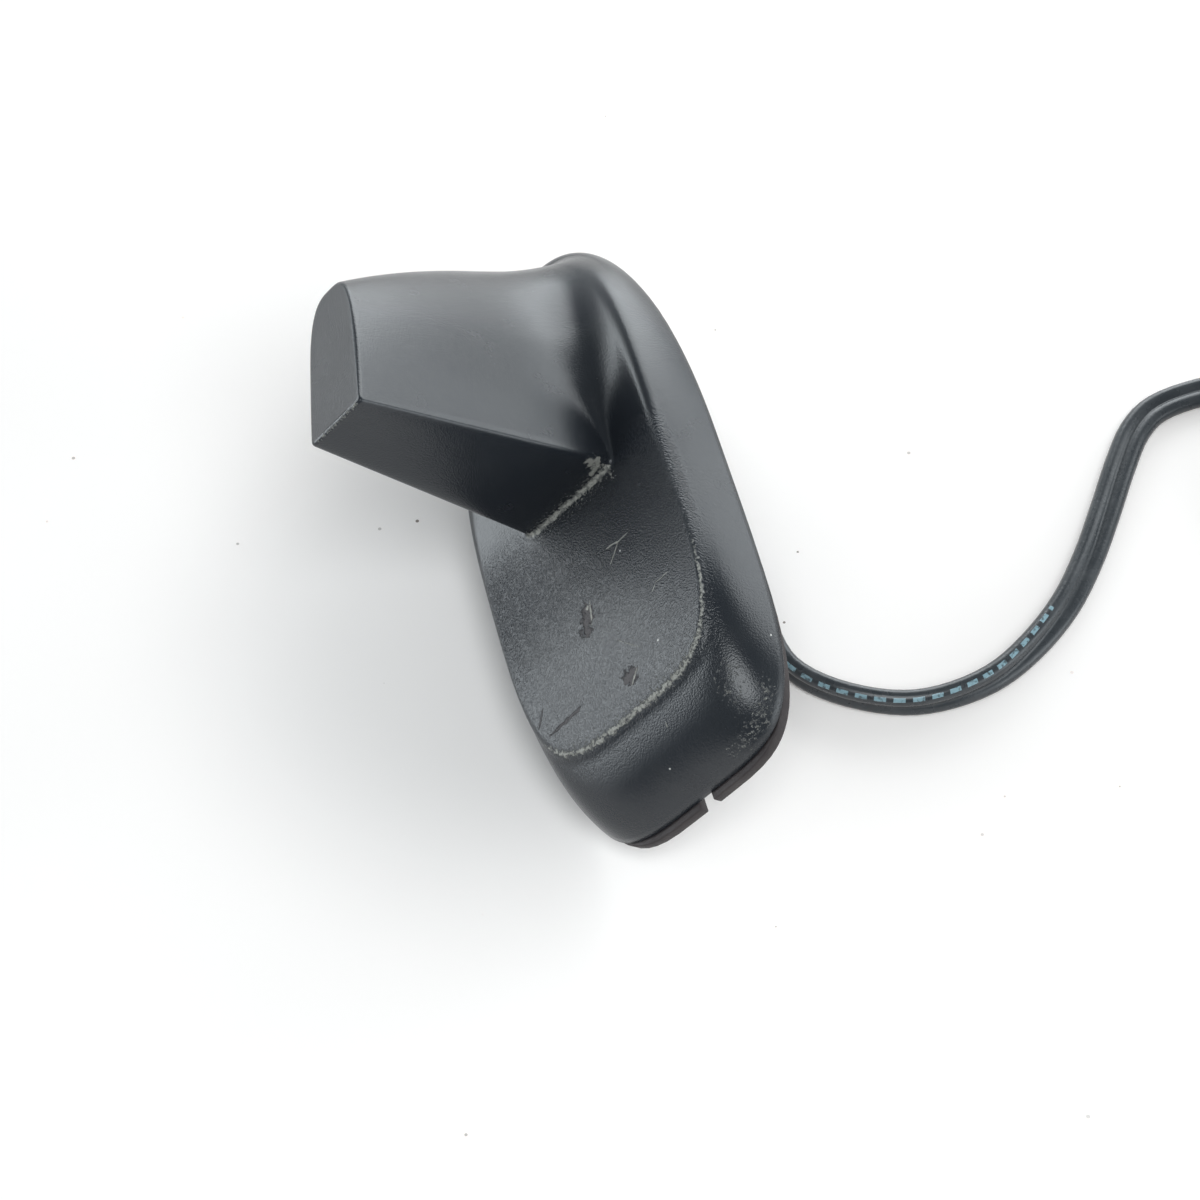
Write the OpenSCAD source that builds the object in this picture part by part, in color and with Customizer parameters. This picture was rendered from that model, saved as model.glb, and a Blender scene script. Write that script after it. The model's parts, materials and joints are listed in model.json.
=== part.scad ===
// Low roof antenna: a moulded cover with an upright blade, on a die-cast foot
// with a hollow threaded stud, and a flat twin lead that lies on the bench.
// Blade front along -Y, +Z out of the roof, origin on the stud's axis at the roof.

/* [Cover outline] */
// Half width of the cover's lower edge
edge_w = 27.1; // [25:0.1:30]
// Reach of the lower edge in front of the stud
edge_front = 59.3; // [57:0.1:63]
// Reach of the lower edge behind the stud
edge_rear = 59.3; // [57:0.1:63]
// Height of the lower edge over the roof
edge_z = 2; // [1.5:0.25:2.5]
// Half width of the deck at its ridge
ridge_w = 23.8; // [22:0.2:24.5]
// Reach of the ridge in front of the stud
ridge_front = 54.4; // [53.6:0.2:56]
// Reach of the ridge behind the stud
ridge_rear = 44.9; // [43:0.1:48]
// Height of the ridge at the rear
ridge_z = 14.3; // [13.5:0.1:16]
// Height of the ridge at the nose
nose_z = 5.3; // [5.2:0.1:7]
// Radius-like reach of the ridge's rounding
ridge_round = 2.6; // [1.5:0.1:3.5]
// Outward swell of the skirt at the rear
skirt_swell = 2.3; // [0:0.1:2.5]
// Outward swell of the skirt along the sides
side_swell = 0.3; // [0:0.1:1]
// Wall of the moulding
wall = 2.2; // [1.8:0.1:2.6]

/* [Blade] */
// Half width of the blade at the deck
foot_w = 11.6; // [10.5:0.1:12]
// Height at which the blade's wall meets the deck
foot_z = 12.5; // [12:0.1:13.5]
// Reach of the blade's foot in front of the stud
foot_front = 54; // [52:0.2:55]
// Place of the blade's rear face at the deck
foot_rear = -1.2; // [-2:0.1:0]
// Half width of the blade at its tip
tip_w = 6.6; // [6:0.1:8]
// Height of the tip at the rear face
tip_z = 66.4; // [60:0.2:70]
// Fall of the tip toward the front, per millimetre
tip_fall = 0.22; // [0.15:0.01:0.25]
// Length of the tip face
tip_len = 32.7; // [30:0.1:34]
// Reach of the blend between blade and deck along the sides
side_blend = 7; // [5:0.5:8]
// Reach of the blend behind the blade
rear_blend = 1; // [0.5:0.1:2]
// Rounding of the tip's rim
tip_round = 0.9; // [0.5:0.1:1.2]

/* [Foot and seals] */
// Thickness of the die-cast foot plate
plate_t = 2; // [1.6:0.1:2.4]
// Gap between the foot plate and the cover's inside
plate_gap = 0.3; // [0.2:0.05:0.5]
// Half width of the roof gasket
seal_w = 25.6; // [25:0.1:26]
// Reach of the gasket in front of the stud
seal_front = 57.4; // [57:0.1:58.5]
// Reach of the gasket behind the stud
seal_rear = 60.4; // [60:0.1:61]
// Width of the gasket's band
seal_band = 6.5; // [6:0.1:7]
// Width of the drain notch at the rear
notch_w = 3; // [2:0.1:4]
// Depth of the drain notch
notch_d = 3.4; // [2.5:0.1:3.8]
// Radius of the hollow stud
stud_r = 8; // [7:0.25:9]
// Step of the collar that the stud stands on
collar_step = 0.6; // [0.5:0.1:1]
// Reach of the stud below the roof
stud_len = 18.5; // [16:0.25:20]
// Radius of the bore in the stud
stud_bore = 5.2; // [4.5:0.1:5.5]
// Outer radius of the seal round the stud
stud_seal_r = 12; // [10:0.5:14]
// Radius of the peg that stops the foot from turning
peg_r = 2; // [1.5:0.1:2.5]
// Distance of the peg behind the stud's axis
peg_y = 18; // [16:0.5:22]
// Reach of the peg below the roof
peg_len = 3; // [2:0.25:4]

/* [Electronics] */
// Half width of the main board
board_w = 13.8; // [13:0.1:14]
// Half width of the board's front tongue
tongue_w = 10; // [9.5:0.1:10.2]
// Rear end of the main board
board_rear = 41; // [39:0.5:42]
// Front end of the main board
board_front = -42; // [-43:0.5:-41]
// Thickness of the main board
board_t = 1; // [0.8:0.1:1.2]
// Height of the posts under the board
post_h = 1; // [0.8:0.1:1.2]
// Side of the square ceramic patch
patch_s = 25; // [20:0.5:25]
// Thickness of the ceramic patch
patch_t = 4; // [3:0.1:4]
// Place of the patch's middle behind the stud
patch_y = 21.5; // [20.5:0.5:22]
// Thickness of the blade board
blade_t = 1; // [0.8:0.1:1.2]
// Height of the blade board's lower edge over the main board
blade_lift = 4; // [3.8:0.1:4.5]
// Height of the shield can
can_h = 3; // [2:0.1:3.4]

/* [Lead] */
// Diameter of each of the two bonded coaxes
coax_d = 3; // [2.8:0.1:3]
// Lean of the bench that the loose antenna lies on
bench_tilt = 46.65; // [46:0.05:47]
// Mean radius of the coil
coil_r = 32; // [30:0.5:36]
// Length of a connector's shell
plug_len = 22; // [18:0.5:26]

/* [Hidden] */
$fn = 48;
around = 72;          // points of each ring of the cover
eps = 0.01;
cut = 1;              // overrun of a cutting tool past the face it opens
plate_z = edge_z;
floor_z = plate_z + plate_t;
board_z = floor_z + post_h;
board_top = board_z + board_t;
can_top = board_top + can_h;
blade_z = board_top + blade_lift;
edge_front_n = 2.22;  // squareness of the outlines
edge_rear_n = 4.6;
ridge_front_n = 2.7;
ridge_rear_n = 4.2;
foot_front_n = 2.65;
foot_rear_n = 7;
tip_front_n = 3.2;
tip_rear_n = 6;
foot_fall = 1;        // fall of the blade's foot toward the nose
foot_corner = 3;      // reach of the blade's rear corners
tip_corner = 1.7;
ridge_flat_y = 5;     // the ridge falls in front of this place
post_r = 2.2;
screw_r = 1.1;
screw_fit = 0.15;
// Place across, front end, width, length and height of each chip
chips = [[9.5, -11, 4, 4, 1], [10.5, -2, 3, 4, 1.2], [-10, -8, 3, 3, 0.8],
    [-10.5, 0, 4.2, 5, 1.3]];
tabs = [-9, -36];      // rear ends of the blade board's two tabs
tab_len = 5;
blade_front = -44;
tip_gap = 1.7;        // from the blade board to the inside of the tip
foil_t = 0.3;
foil_in = 4;
pin_y = -34.5;
posts = [[11, 37.5], [-11, 37.5], [7, -38], [-7, -38]];
cover_posts = [[16.6, 25, ridge_z - 1.4], [-16.6, 25, ridge_z - 1.4],
    [13, -35, 10.2], [-13, -35, 10.2]];
boss_r = 2.5;
stud_chamfer = 0.5;
head_r = 2.1;
head_h = 1.2;
lead_w = 2 * coax_d;
twin_shape = [0.7, 0.9]; // squareness of the flat lead's section
plug_w = 8;
plug_r = 3.6;
plug_wall = 0.9;
plug_seat = 12;       // depth of the socket's floor behind the wire's entry
plug_a_at = [92, 140];
plug_b_at = [105, 140];
coil_gap = 0.15;
run_in = 22;          // length of the coil left open where the lead runs in
last_turn = [90, 230]; // sector of the coil that has a third layer
tie_angle = 135;
tie_t = 0.8;
tie_w = 4;
bench_h = -18.6;      // height of the bench along its own normal
lay_h = bench_h + coax_d / 2;
wire_h = bench_h + plug_w / 2;

// Superellipse point at angle a, front half and rear half with their own reach
function outline(a, w, lf, lr, nf, nr, y0 = 0) =
    let (s = sin(a), c = cos(a), n = c > 0 ? nf : nr, l = c > 0 ? lf : lr)
    [w * sign(s) * pow(abs(s), 2 / n), y0 - sign(c) * l * pow(abs(c), 2 / n)];
function edge_pt(a, in = 0) = outline(a, edge_w - in, edge_front - in, edge_rear - in,
    edge_front_n, edge_rear_n);
function seal_pt(a, in = 0) = outline(a, seal_w - in, seal_front - in, seal_rear - in,
    2.45, edge_rear_n);
function ridge_fall(y) = pow(max(0, min(1, (ridge_flat_y - y) / (ridge_front + ridge_flat_y))), 2);
function ridge_pt(a, in = 0) =
    let (p = outline(a, ridge_w - in, ridge_front - in, ridge_rear - in, ridge_front_n,
        ridge_rear_n))
    [p[0], p[1], ridge_z - (ridge_z - nose_z) * ridge_fall(p[1]) - in];
function foot_pt(a, in = 0) =
    let (y0 = foot_rear - foot_corner,
        p = outline(a, foot_w - in, foot_front + y0 - in, foot_corner - in, foot_front_n,
            foot_rear_n, y0))
    [p[0], p[1], foot_z - foot_fall * pow(min(1, max(0, -p[1]) / foot_front), 2) - in];
function tip_height(y) = tip_z + tip_fall * y;
function tip_pt(a, in = 0) =
    let (y0 = -0.5 - tip_corner,
        p = outline(a, tip_w - in, tip_len - tip_corner - in, tip_corner - in / 2,
            tip_front_n, tip_rear_n, y0))
    [p[0], p[1], tip_height(p[1]) - in];

function unit(v) = v / norm(v);
function turn(p, c, q, dp, dq, t) =
    let (a = c + unit(p - c) * dp, b = c + unit(q - c) * dq)
    (1 - t) * (1 - t) * a + 2 * t * (1 - t) * c + t * t * b;
function lift(p, z) = [p[0], p[1], z];
function swell(b, r, t, h) =
    let (s = r - b, d = norm([s[0], s[1]]), o = [-s[0], -s[1], 0] / d)
    b + s * t + 4 * t * (1 - t) * h * unit(o * s[2] + [0, 0, d]);
function blend_at(a) =
    let (f = foot_pt(a), w = max(0, min(1, (f[1] + 8) / 6)))
    side_blend + (rear_blend - side_blend) * w;
function rounding_at(a) = ridge_round + 1.4 * pow(max(0, cos(a)), 2);
angles = [for (i = [0 : around - 1]) 360 * (i + 0.001) / around];
tip_middle = [0, -15, tip_height(-15)];

skirt_rings = [for (t = [0, 0.25, 0.5, 0.75]) [for (a = angles)
    swell(lift(edge_pt(a), edge_z), turn(lift(edge_pt(a), edge_z), ridge_pt(a), foot_pt(a),
        rounding_at(a), rounding_at(a), 0), t,
        side_swell + (skirt_swell - side_swell) * max(0, -cos(a)))]];
ridge_rings = [for (t = [0 : 0.25 : 1]) [for (a = angles)
    turn(lift(edge_pt(a), edge_z), ridge_pt(a), foot_pt(a), rounding_at(a), rounding_at(a), t)]];
foot_rings = [for (t = [0 : 0.2 : 1]) [for (a = angles)
    let (r = ridge_pt(a), f = foot_pt(a), g = norm(r - f) - rounding_at(a) - 0.3)
    turn(r, f, tip_pt(a), max(0.2, min(blend_at(a), g)), blend_at(a), t)]];
tip_rings = [for (t = [0 : 1 / 3 : 1.01]) [for (a = angles)
    turn(foot_pt(a), tip_pt(a), tip_middle, tip_round, tip_round, t)]];
// Inside of the cover's wall at a height, on the skirt or on the deck over it
function wall_pt(a, z) =
    let (e = lift(edge_pt(a, wall), edge_z), r = ridge_pt(a, wall), f = foot_pt(a, wall),
        low = z < r[2], p = low ? e : r, q = low ? r : f)
    p + (q - p) * (z - p[2]) / (q[2] - p[2]);
function drawn_in(p, gap) = p * (1 - gap / norm([p[0], p[1]]));
inner_rings = [[for (a = angles) tip_pt(a, wall)], [for (a = angles) foot_pt(a, wall)],
    [for (a = angles) ridge_pt(a, wall)], [for (a = angles) lift(edge_pt(a, wall), edge_z)]];

// Closed skin through rings of equal count, with a point on each end
module skin(rings, first, last) {
    n = len(rings[0]);
    m = len(rings);
    pts = concat([for (r = rings) each r], [first, last]);
    polyhedron(pts, concat(
        [for (i = [0 : m - 2], j = [0 : n - 1])
            each [[i * n + j, (i + 1) * n + j, (i + 1) * n + (j + 1) % n],
                [i * n + j, (i + 1) * n + (j + 1) % n, i * n + (j + 1) % n]]],
        [for (j = [0 : n - 1]) [m * n, j, (j + 1) % n]],
        [for (j = [0 : n - 1]) [m * n + 1, (m - 1) * n + (j + 1) % n, (m - 1) * n + j]]));
}
// Open skin closed from its last ring back to its first
module shell(outer, top, inner, under) {
    n = len(outer[0]);
    all = concat(outer, inner);
    m = len(outer);
    k = len(all);
    pts = concat([for (r = all) each r], [top, under]);
    polyhedron(pts, concat(
        [for (i = [0 : k - 2], j = [0 : n - 1]) if (i != m - 1)
            each [[i * n + j, (i + 1) * n + j, (i + 1) * n + (j + 1) % n],
                [i * n + j, (i + 1) * n + (j + 1) % n, i * n + (j + 1) % n]]],
        [for (j = [0 : n - 1]) each [[(k - 1) * n + j, j, (j + 1) % n],
            [(k - 1) * n + j, (j + 1) % n, (k - 1) * n + (j + 1) % n]]],
        [for (j = [0 : n - 1]) [k * n, (m - 1) * n + (j + 1) % n, (m - 1) * n + j]],
        [for (j = [0 : n - 1]) [k * n + 1, m * n + j, m * n + (j + 1) % n]]));
}
module plan(pts) { polygon([for (p = pts) [p[0], p[1]]]); }
module bar(p, r, z0, z1) { translate([p[0], p[1], z0]) cylinder(r = r, h = z1 - z0); }

module cover() {
    color([0.17, 0.18, 0.19]) difference() {
        union() {
            shell(concat(skirt_rings, ridge_rings, foot_rings, tip_rings), tip_middle,
                inner_rings, tip_middle - [0, 0, wall]);
            for (p = cover_posts) bar(p, boss_r, floor_z, p[2]);
        }
        for (p = cover_posts) bar(p, screw_r, floor_z - cut, p[2] - 1.2);
    }
}

module seal_gasket() {
    color([0.12, 0.1, 0.1]) linear_extrude(edge_z) difference() {
        plan([for (a = angles) seal_pt(a)]);
        plan([for (a = angles) seal_pt(a, seal_band)]);
        translate([-notch_w / 2, seal_rear - notch_d]) square([notch_w, notch_d + cut]);
    }
}

module base_plate() {
    color([0.62, 0.63, 0.64]) difference() {
        union() {
            translate([0, 0, plate_z]) linear_extrude(plate_t)
                plan([for (a = angles) drawn_in(wall_pt(a, floor_z), plate_gap)]);
            bar([0, 0], stud_r + collar_step, 0, plate_z + eps);
            bar([0, 0], stud_r, stud_chamfer - stud_len, eps);
            translate([0, 0, -stud_len])
                cylinder(r1 = stud_r - stud_chamfer, r2 = stud_r, h = stud_chamfer);
            bar([0, peg_y], peg_r, -peg_len, plate_z + eps);
            for (p = posts) bar(p, post_r, floor_z - eps, board_z);
        }
        bar([0, 0], stud_bore, -stud_len - cut, floor_z + cut);
        for (p = posts) bar(p, screw_r, floor_z - 1, board_z + cut);
        for (p = cover_posts) {
            bar(p, screw_r + screw_fit, plate_z - cut, floor_z + cut);
            bar(p, head_r + screw_fit, plate_z - cut, plate_z + head_h);
        }
    }
}

module stud_seal() {
    color([0.1, 0.1, 0.11]) difference() {
        bar([0, 0], stud_seal_r, 0, edge_z);
        bar([0, 0], stud_r + collar_step, -cut, edge_z + cut);
    }
}

module main_board() {
    front_y = -28;
    color([0.1, 0.32, 0.18]) difference() {
        translate([0, 0, board_z]) linear_extrude(board_t) polygon([
            [-board_w, front_y], [-tongue_w, front_y - 3], [-tongue_w, board_front],
            [tongue_w, board_front], [tongue_w, front_y - 3], [board_w, front_y],
            [board_w, board_rear], [-board_w, board_rear]]);
        bar([0, 0], stud_bore + 1.3, board_z - cut, board_top + cut);
        for (p = posts) bar(p, screw_r + screw_fit, board_z - cut, board_top + cut);
    }
}

module box(w, y0, y1, z0, z1, x = 0) {
    translate([x - w / 2, y0, z0]) cube([w, y1 - y0, z1 - z0]);
}

module shield_can() {
    can_w = 18;
    can_t = 0.4;
    can = [-31, -17];
    color([0.7, 0.71, 0.72]) difference() {
        box(can_w, can[0], can[1], board_top, can_top);
        box(can_w - 2 * can_t, can[0] + can_t, can[1] - can_t, board_top - cut,
            can_top - can_t);
    }
}

module gps_patch() {
    color([0.72, 0.62, 0.48]) difference() {
        box(patch_s, patch_y - patch_s / 2, patch_y + patch_s / 2, board_top,
            board_top + patch_t);
        bar([0, patch_y - 2], 0.6, board_top - cut, board_top + patch_t + cut);
    }
}

module patch_electrode() {
    plate_s = patch_s - 4;
    color([0.8, 0.8, 0.8]) difference() {
        box(plate_s, patch_y - plate_s / 2, patch_y + plate_s / 2, board_top + patch_t,
            board_top + patch_t + 0.2);
        bar([0, patch_y - 2], 0.6, board_top, board_top + patch_t + cut);
    }
}

module patch_feed_pin() {
    color([0.83, 0.7, 0.35]) {
        bar([0, patch_y - 2], 0.6, board_top, board_top + patch_t + 0.2 + eps);
        bar([0, patch_y - 2], 1.2, board_top + patch_t + 0.2, board_top + patch_t + 0.6);
    }
}

module amplifier_chips() {
    color([0.08, 0.08, 0.09]) for (c = chips)
        box(c[2], c[1], c[1] + c[3], board_top, board_top + c[4], c[0]);
}

// Height over the roof at y, a distance below the inside of the blade's tip
function under_tip(y, gap) = tip_height(y) - wall - gap;

module blade_board() {
    rear = -5;
    lean = 16;
    color([0.12, 0.34, 0.2]) translate([blade_t / 2, 0, 0]) rotate([0, -90, 0])
        linear_extrude(blade_t) polygon(concat([[blade_z, rear - 1]],
            [for (y = tabs) each [[blade_z, y], [board_top, y], [board_top, y - tab_len],
                [blade_z, y - tab_len]]],
            [[blade_z + 3, blade_front], [under_tip(blade_front + lean, tip_gap),
                blade_front + lean], [under_tip(rear, tip_gap), rear]]));
}

module blade_element() {
    track = 3.5;
    rear = -7.5;
    top = under_tip(rear, tip_gap + foil_in);
    low = blade_z + 1;
    color([0.72, 0.56, 0.28]) translate([blade_t / 2 + foil_t, 0, 0]) rotate([0, -90, 0])
        linear_extrude(foil_t) polygon([
            [low, pin_y + 1.5], [low, pin_y - 4], [top - 10, -27.5], [top - 6, -24],
            [top - 1.5, rear - 1.5], [top - 4, rear], [top / 2, rear], [top / 2, rear - track],
            [top - 8, rear - track], [top - 12, -23], [low + 13, pin_y + 3]]);
}

module contact_pin() {
    pin_r = 0.8;
    color([0.83, 0.7, 0.35])
        bar([blade_t / 2 + foil_t + pin_r, pin_y], pin_r, board_top, blade_z + 6);
}

module blade_foam() {
    foam_w = 4;
    foam_h = 6;
    ends = [-9, -18];
    top = [for (y = ends) under_tip(y, tip_gap)];
    color([0.13, 0.13, 0.14]) difference() {
        translate([foam_w, 0, 0]) rotate([0, -90, 0]) linear_extrude(2 * foam_w)
            polygon([[top[0] - foam_h, ends[0]], [top[1] - foam_h, ends[1]],
                [top[1], ends[1]], [top[0], ends[0]]]);
        box(blade_t, ends[1] - cut, ends[0] + cut, 0, tip_z);
        box(foil_t, ends[1] - cut, ends[0] + cut, 0, tip_z, (blade_t + foil_t) / 2);
    }
}

module board_screws() {
    color([0.55, 0.55, 0.56]) for (p = posts) {
        bar(p, screw_r, floor_z - 1, board_top + eps);
        difference() {
            bar(p, 2, board_top, board_top + 1.2);
            translate([p[0] - 1.4, p[1] - 0.25, board_top + 0.7]) cube([2.8, 0.5, 1]);
            translate([p[0] - 0.25, p[1] - 1.4, board_top + 0.7]) cube([0.5, 2.8, 1]);
        }
    }
}

module cover_screws() {
    color([0.3, 0.3, 0.31]) for (p = cover_posts) {
        bar(p, screw_r, plate_z + head_h - eps, p[2] - 1.2);
        difference() {
            bar(p, head_r, plate_z, plate_z + head_h);
            translate([p[0] - 1.5, p[1] - 0.3, plate_z - 0.3]) cube([3, 0.6, 1]);
            translate([p[0] - 0.3, p[1] - 1.5, plate_z - 0.3]) cube([0.6, 3, 1]);
        }
    }
}

ferrule_r = 1.9;
ferrule_z = board_top + ferrule_r;
lead_x = 3;
module coax_ferrules() {
    color([0.75, 0.68, 0.45]) for (x = [-lead_x, lead_x])
        translate([x, -12, ferrule_z]) rotate([-90, 0, 0]) difference() {
            translate([0, 0, -4]) cylinder(r = ferrule_r, h = 6);
            cylinder(r = coax_d / 2, h = 6);
        }
}

// Tube of a round or flat section swept along points
function tangent(p, i) = unit(p[min(i + 1, len(p) - 1)] - p[max(i - 1, 0)]);
function spline(p, k) = [for (i = [0 : len(p) - 2], j = [0 : k - 1])
    let (a = p[max(i - 1, 0)], b = p[i], c = p[i + 1], d = p[min(i + 2, len(p) - 1)],
        t = j / k)
    0.5 * (2 * b + (c - a) * t + (2 * a - 5 * b + 4 * c - d) * t * t
        + (3 * b - 3 * c + d - a) * t * t * t)];
function run(p, k) = concat(spline(p, k), [p[len(p) - 1]]);
module swept(p, w, h, up, sides = 8, square = [1, 1]) {
    rings = [for (i = [0 : len(p) - 1])
        let (t = tangent(p, i), s = unit(cross(up, t)), n = cross(t, s))
        [for (j = [0 : sides - 1]) let (a = 360 * (j + 0.5) / sides)
            p[i] + s * w / 2 * sign(cos(a)) * pow(abs(cos(a)), square[0])
                + n * h / 2 * sign(sin(a)) * pow(abs(sin(a)), square[1])]];
    skin(rings, p[0], p[len(p) - 1]);
}

inner_a = [[0, -1.5, -stud_len], [0, -1.5, -12], [0, -1.5, 0], [-1, -2.3, 4.4],
    [-2.5, -5.4, 7.4], [-lead_x, -8.6, ferrule_z], [-lead_x, -10, ferrule_z],
    [-lead_x, -12, ferrule_z]];
inner_b = [[0, 1.5, -stud_len], [0, 1.5, -12], [0, 1.5, 1], [1, 0.7, 5.2],
    [2.5, -3, 8], [lead_x, -7.5, ferrule_z], [lead_x, -10, ferrule_z],
    [lead_x, -12, ferrule_z]];
module inner_leads() {
    color([0.16, 0.16, 0.17]) {
        swept(run(inner_a, 3), coax_d, coax_d, [1, 0, 0]);
        swept(run(inner_b, 3), coax_d, coax_d, [1, 0, 0]);
    }
}

module stud_grommet() {
    slot = coax_d + 0.2;
    color([0.1, 0.1, 0.1]) difference() {
        bar([0, 0], stud_bore, -stud_len, -11);
        translate([0, 0, -stud_len - cut]) linear_extrude(stud_len) hull()
            for (y = [-coax_d / 2, coax_d / 2]) translate([0, y]) circle(d = slot);
    }
}

// Points given on the bench: along the antenna, across it, and height over it
bench_up = [-sin(bench_tilt), 0, cos(bench_tilt)];
function on_bench(p) = [-p[1] * cos(bench_tilt), p[0], -p[1] * sin(bench_tilt)]
    + bench_up * p[2];
coil_at = [20, 148];
route = [[1.5, 18, -16.2], [5, 20.6, lay_h], [11, 21.6, lay_h], [19, 21.8, lay_h],
    [27, 23.6, lay_h], [33.5, 29.5, lay_h], [38.5, 38.5, lay_h], [40, 47, lay_h],
    [38.5, 57, lay_h], [34, 66, lay_h], [27, 75, lay_h], [18.5, 82.5, lay_h],
    [9.5, 89, lay_h], [0, 95.5, lay_h], [-7, 101, lay_h], [-11, 107, lay_h],
    [-12.4, 116, lay_h], [-12, 127, lay_h], [-12, 138, lay_h], [-12, 148, lay_h]];
lead_route = concat([[0, 0, -stud_len], [0, 0, -stud_len - 1], [0, 0, -stud_len - 2.4]],
    [for (p = route) on_bench(p)]);
over_h = lay_h + 2 * coax_d;
end_route = [for (p = [[20, 180, over_h], [30, 180, over_h], [38, 179.4, over_h],
    [44.5, 178, -11.4], [51, 175.6, -12.9], [57.5, 172.8, -15], [63.5, 170.2, -16.6],
    [69, 167.8, lay_h]]) on_bench(p)];
sleeve_a = on_bench([69.4, 167.6, lay_h]);
sleeve_b = on_bench([80, 163, lay_h]);

module twin_lead() {
    color([0.13, 0.14, 0.15]) swept(run(lead_route, 2), lead_w, coax_d, bench_up, 12,
        twin_shape);
}

module on_bench_frame(p) {
    multmatrix([[0, -cos(bench_tilt), -sin(bench_tilt), on_bench(p)[0]],
        [1, 0, 0, on_bench(p)[1]],
        [0, -sin(bench_tilt), cos(bench_tilt), on_bench(p)[2]]]) children();
}

// Flat turns lying on each other, open where the lead runs in below
module lead_coil() {
    first = last_turn[0] + coil_gap / coil_r * 180 / PI;
    color([0.13, 0.14, 0.15]) on_bench_frame([coil_at[0], coil_at[1], bench_h])
        difference() {
            union() {
                rotate_extrude() translate([coil_r - lead_w / 2, 0])
                    square([lead_w, 2 * coax_d]);
                rotate([0, 0, first]) rotate_extrude(angle = last_turn[1] - first)
                    translate([coil_r - lead_w / 2, coax_d]) square([lead_w, 2 * coax_d]);
            }
            translate([-coil_r - lead_w, -run_in, -cut])
                cube([2 * lead_w, run_in, coax_d + cut + coil_gap]);
            rotate([0, 0, tie_angle]) translate([coil_r - lead_w, -tie_w / 2 - coil_gap, -cut])
                cube([2 * lead_w, tie_w + 2 * coil_gap, cut + tie_t]);
        }
}

module coil_tie() {
    color([0.1, 0.1, 0.1]) on_bench_frame([coil_at[0], coil_at[1], bench_h])
        rotate([0, 0, tie_angle]) translate([coil_r, 0, 0]) difference() {
            translate([-lead_w / 2 - tie_t, -tie_w / 2, 0])
                cube([lead_w + 2 * tie_t, tie_w, 3 * coax_d + tie_t]);
            translate([-lead_w / 2 - coil_gap, -tie_w / 2 - cut, tie_t])
                cube([lead_w + 2 * coil_gap, tie_w + 2 * cut, 3 * coax_d - tie_t]);
        }
}

module lead_end() {
    color([0.13, 0.14, 0.15]) swept(run(end_route, 2), lead_w, coax_d, bench_up, 12,
        twin_shape);
}

module split_sleeve() {
    color([0.08, 0.08, 0.09]) swept([sleeve_a, sleeve_b], lead_w + 1, coax_d,
        bench_up, 12, twin_shape);
}

leg_a = [for (p = [[79.8, 161.4, lay_h], [84.4, 159.2, lay_h], [89, 154.6, lay_h],
    [91.6, 148.5, -16.1], [92, 143, wire_h], [92, 140.5, wire_h], [92, 137, wire_h]])
    on_bench(p)];
leg_b = [for (p = [[81, 164.2, lay_h], [88, 161.4, lay_h], [95.5, 158, lay_h],
    [101.5, 152, lay_h], [104.7, 146, -15.6], [105, 142, wire_h], [105, 140, wire_h],
    [105, 137, wire_h]]) on_bench(p)];
module lead_leg_a() { color([0.13, 0.14, 0.15]) swept(run(leg_a, 2), coax_d, coax_d, bench_up); }
module lead_leg_b() { color([0.13, 0.14, 0.15]) swept(run(leg_b, 2), coax_d, coax_d, bench_up); }

// Square-shouldered coax connector along -Y of its own frame, on the bench
module plug_shell(p) {
    block = 10;
    latch = [3, 9, 1.8];
    color([0.12, 0.12, 0.13]) on_bench_frame([p[0], p[1], bench_h]) difference() {
        union() {
            translate([-plug_w / 2, -block, 0]) cube([plug_w, block, plug_w]);
            translate([0, eps - block, plug_w / 2]) rotate([90, 0, 0])
                cylinder(r = plug_r, h = plug_len - block);
            translate([-latch[0] / 2, -14, plug_w - 1]) cube(latch);
        }
        translate([0, -plug_seat, plug_w / 2]) rotate([90, 0, 0])
            cylinder(r = plug_r - plug_wall, h = plug_len);
        translate([0, cut, plug_w / 2]) rotate([90, 0, 0])
            cylinder(d = coax_d + 0.1, h = 3 + cut);
    }
}
module plug_contact(p) {
    color([0.83, 0.7, 0.35]) on_bench_frame([p[0], p[1], bench_h])
        translate([0, -plug_seat, plug_w / 2]) rotate([90, 0, 0]) union() {
            cylinder(r = 0.5, h = plug_len - 14);
            difference() {
                cylinder(r = 1.9, h = 4);
                translate([0, 0, 1]) cylinder(r = 1.5, h = 4);
            }
        }
}
module connector_a() { plug_shell(plug_a_at); }
module connector_b() { plug_shell(plug_b_at); }
module connector_a_contact() { plug_contact(plug_a_at); }
module connector_b_contact() { plug_contact(plug_b_at); }

cover();
seal_gasket();
base_plate();
stud_seal();
main_board();
shield_can();
gps_patch();
patch_electrode();
patch_feed_pin();
amplifier_chips();
blade_board();
blade_element();
contact_pin();
blade_foam();
board_screws();
cover_screws();
coax_ferrules();
inner_leads();
stud_grommet();
twin_lead();
lead_coil();
coil_tie();
lead_end();
split_sleeve();
lead_leg_a();
lead_leg_b();
connector_a();
connector_b();
connector_a_contact();
connector_b_contact();
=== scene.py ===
# Low vehicle roof antenna, lying on its side on a pale table beside its flat twin lead.
# Sizes are millimetres in the part's own frame, and mm turns them into metres.
import bmesh
import bpy
import json
import math
from mathutils import Matrix, Vector


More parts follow.
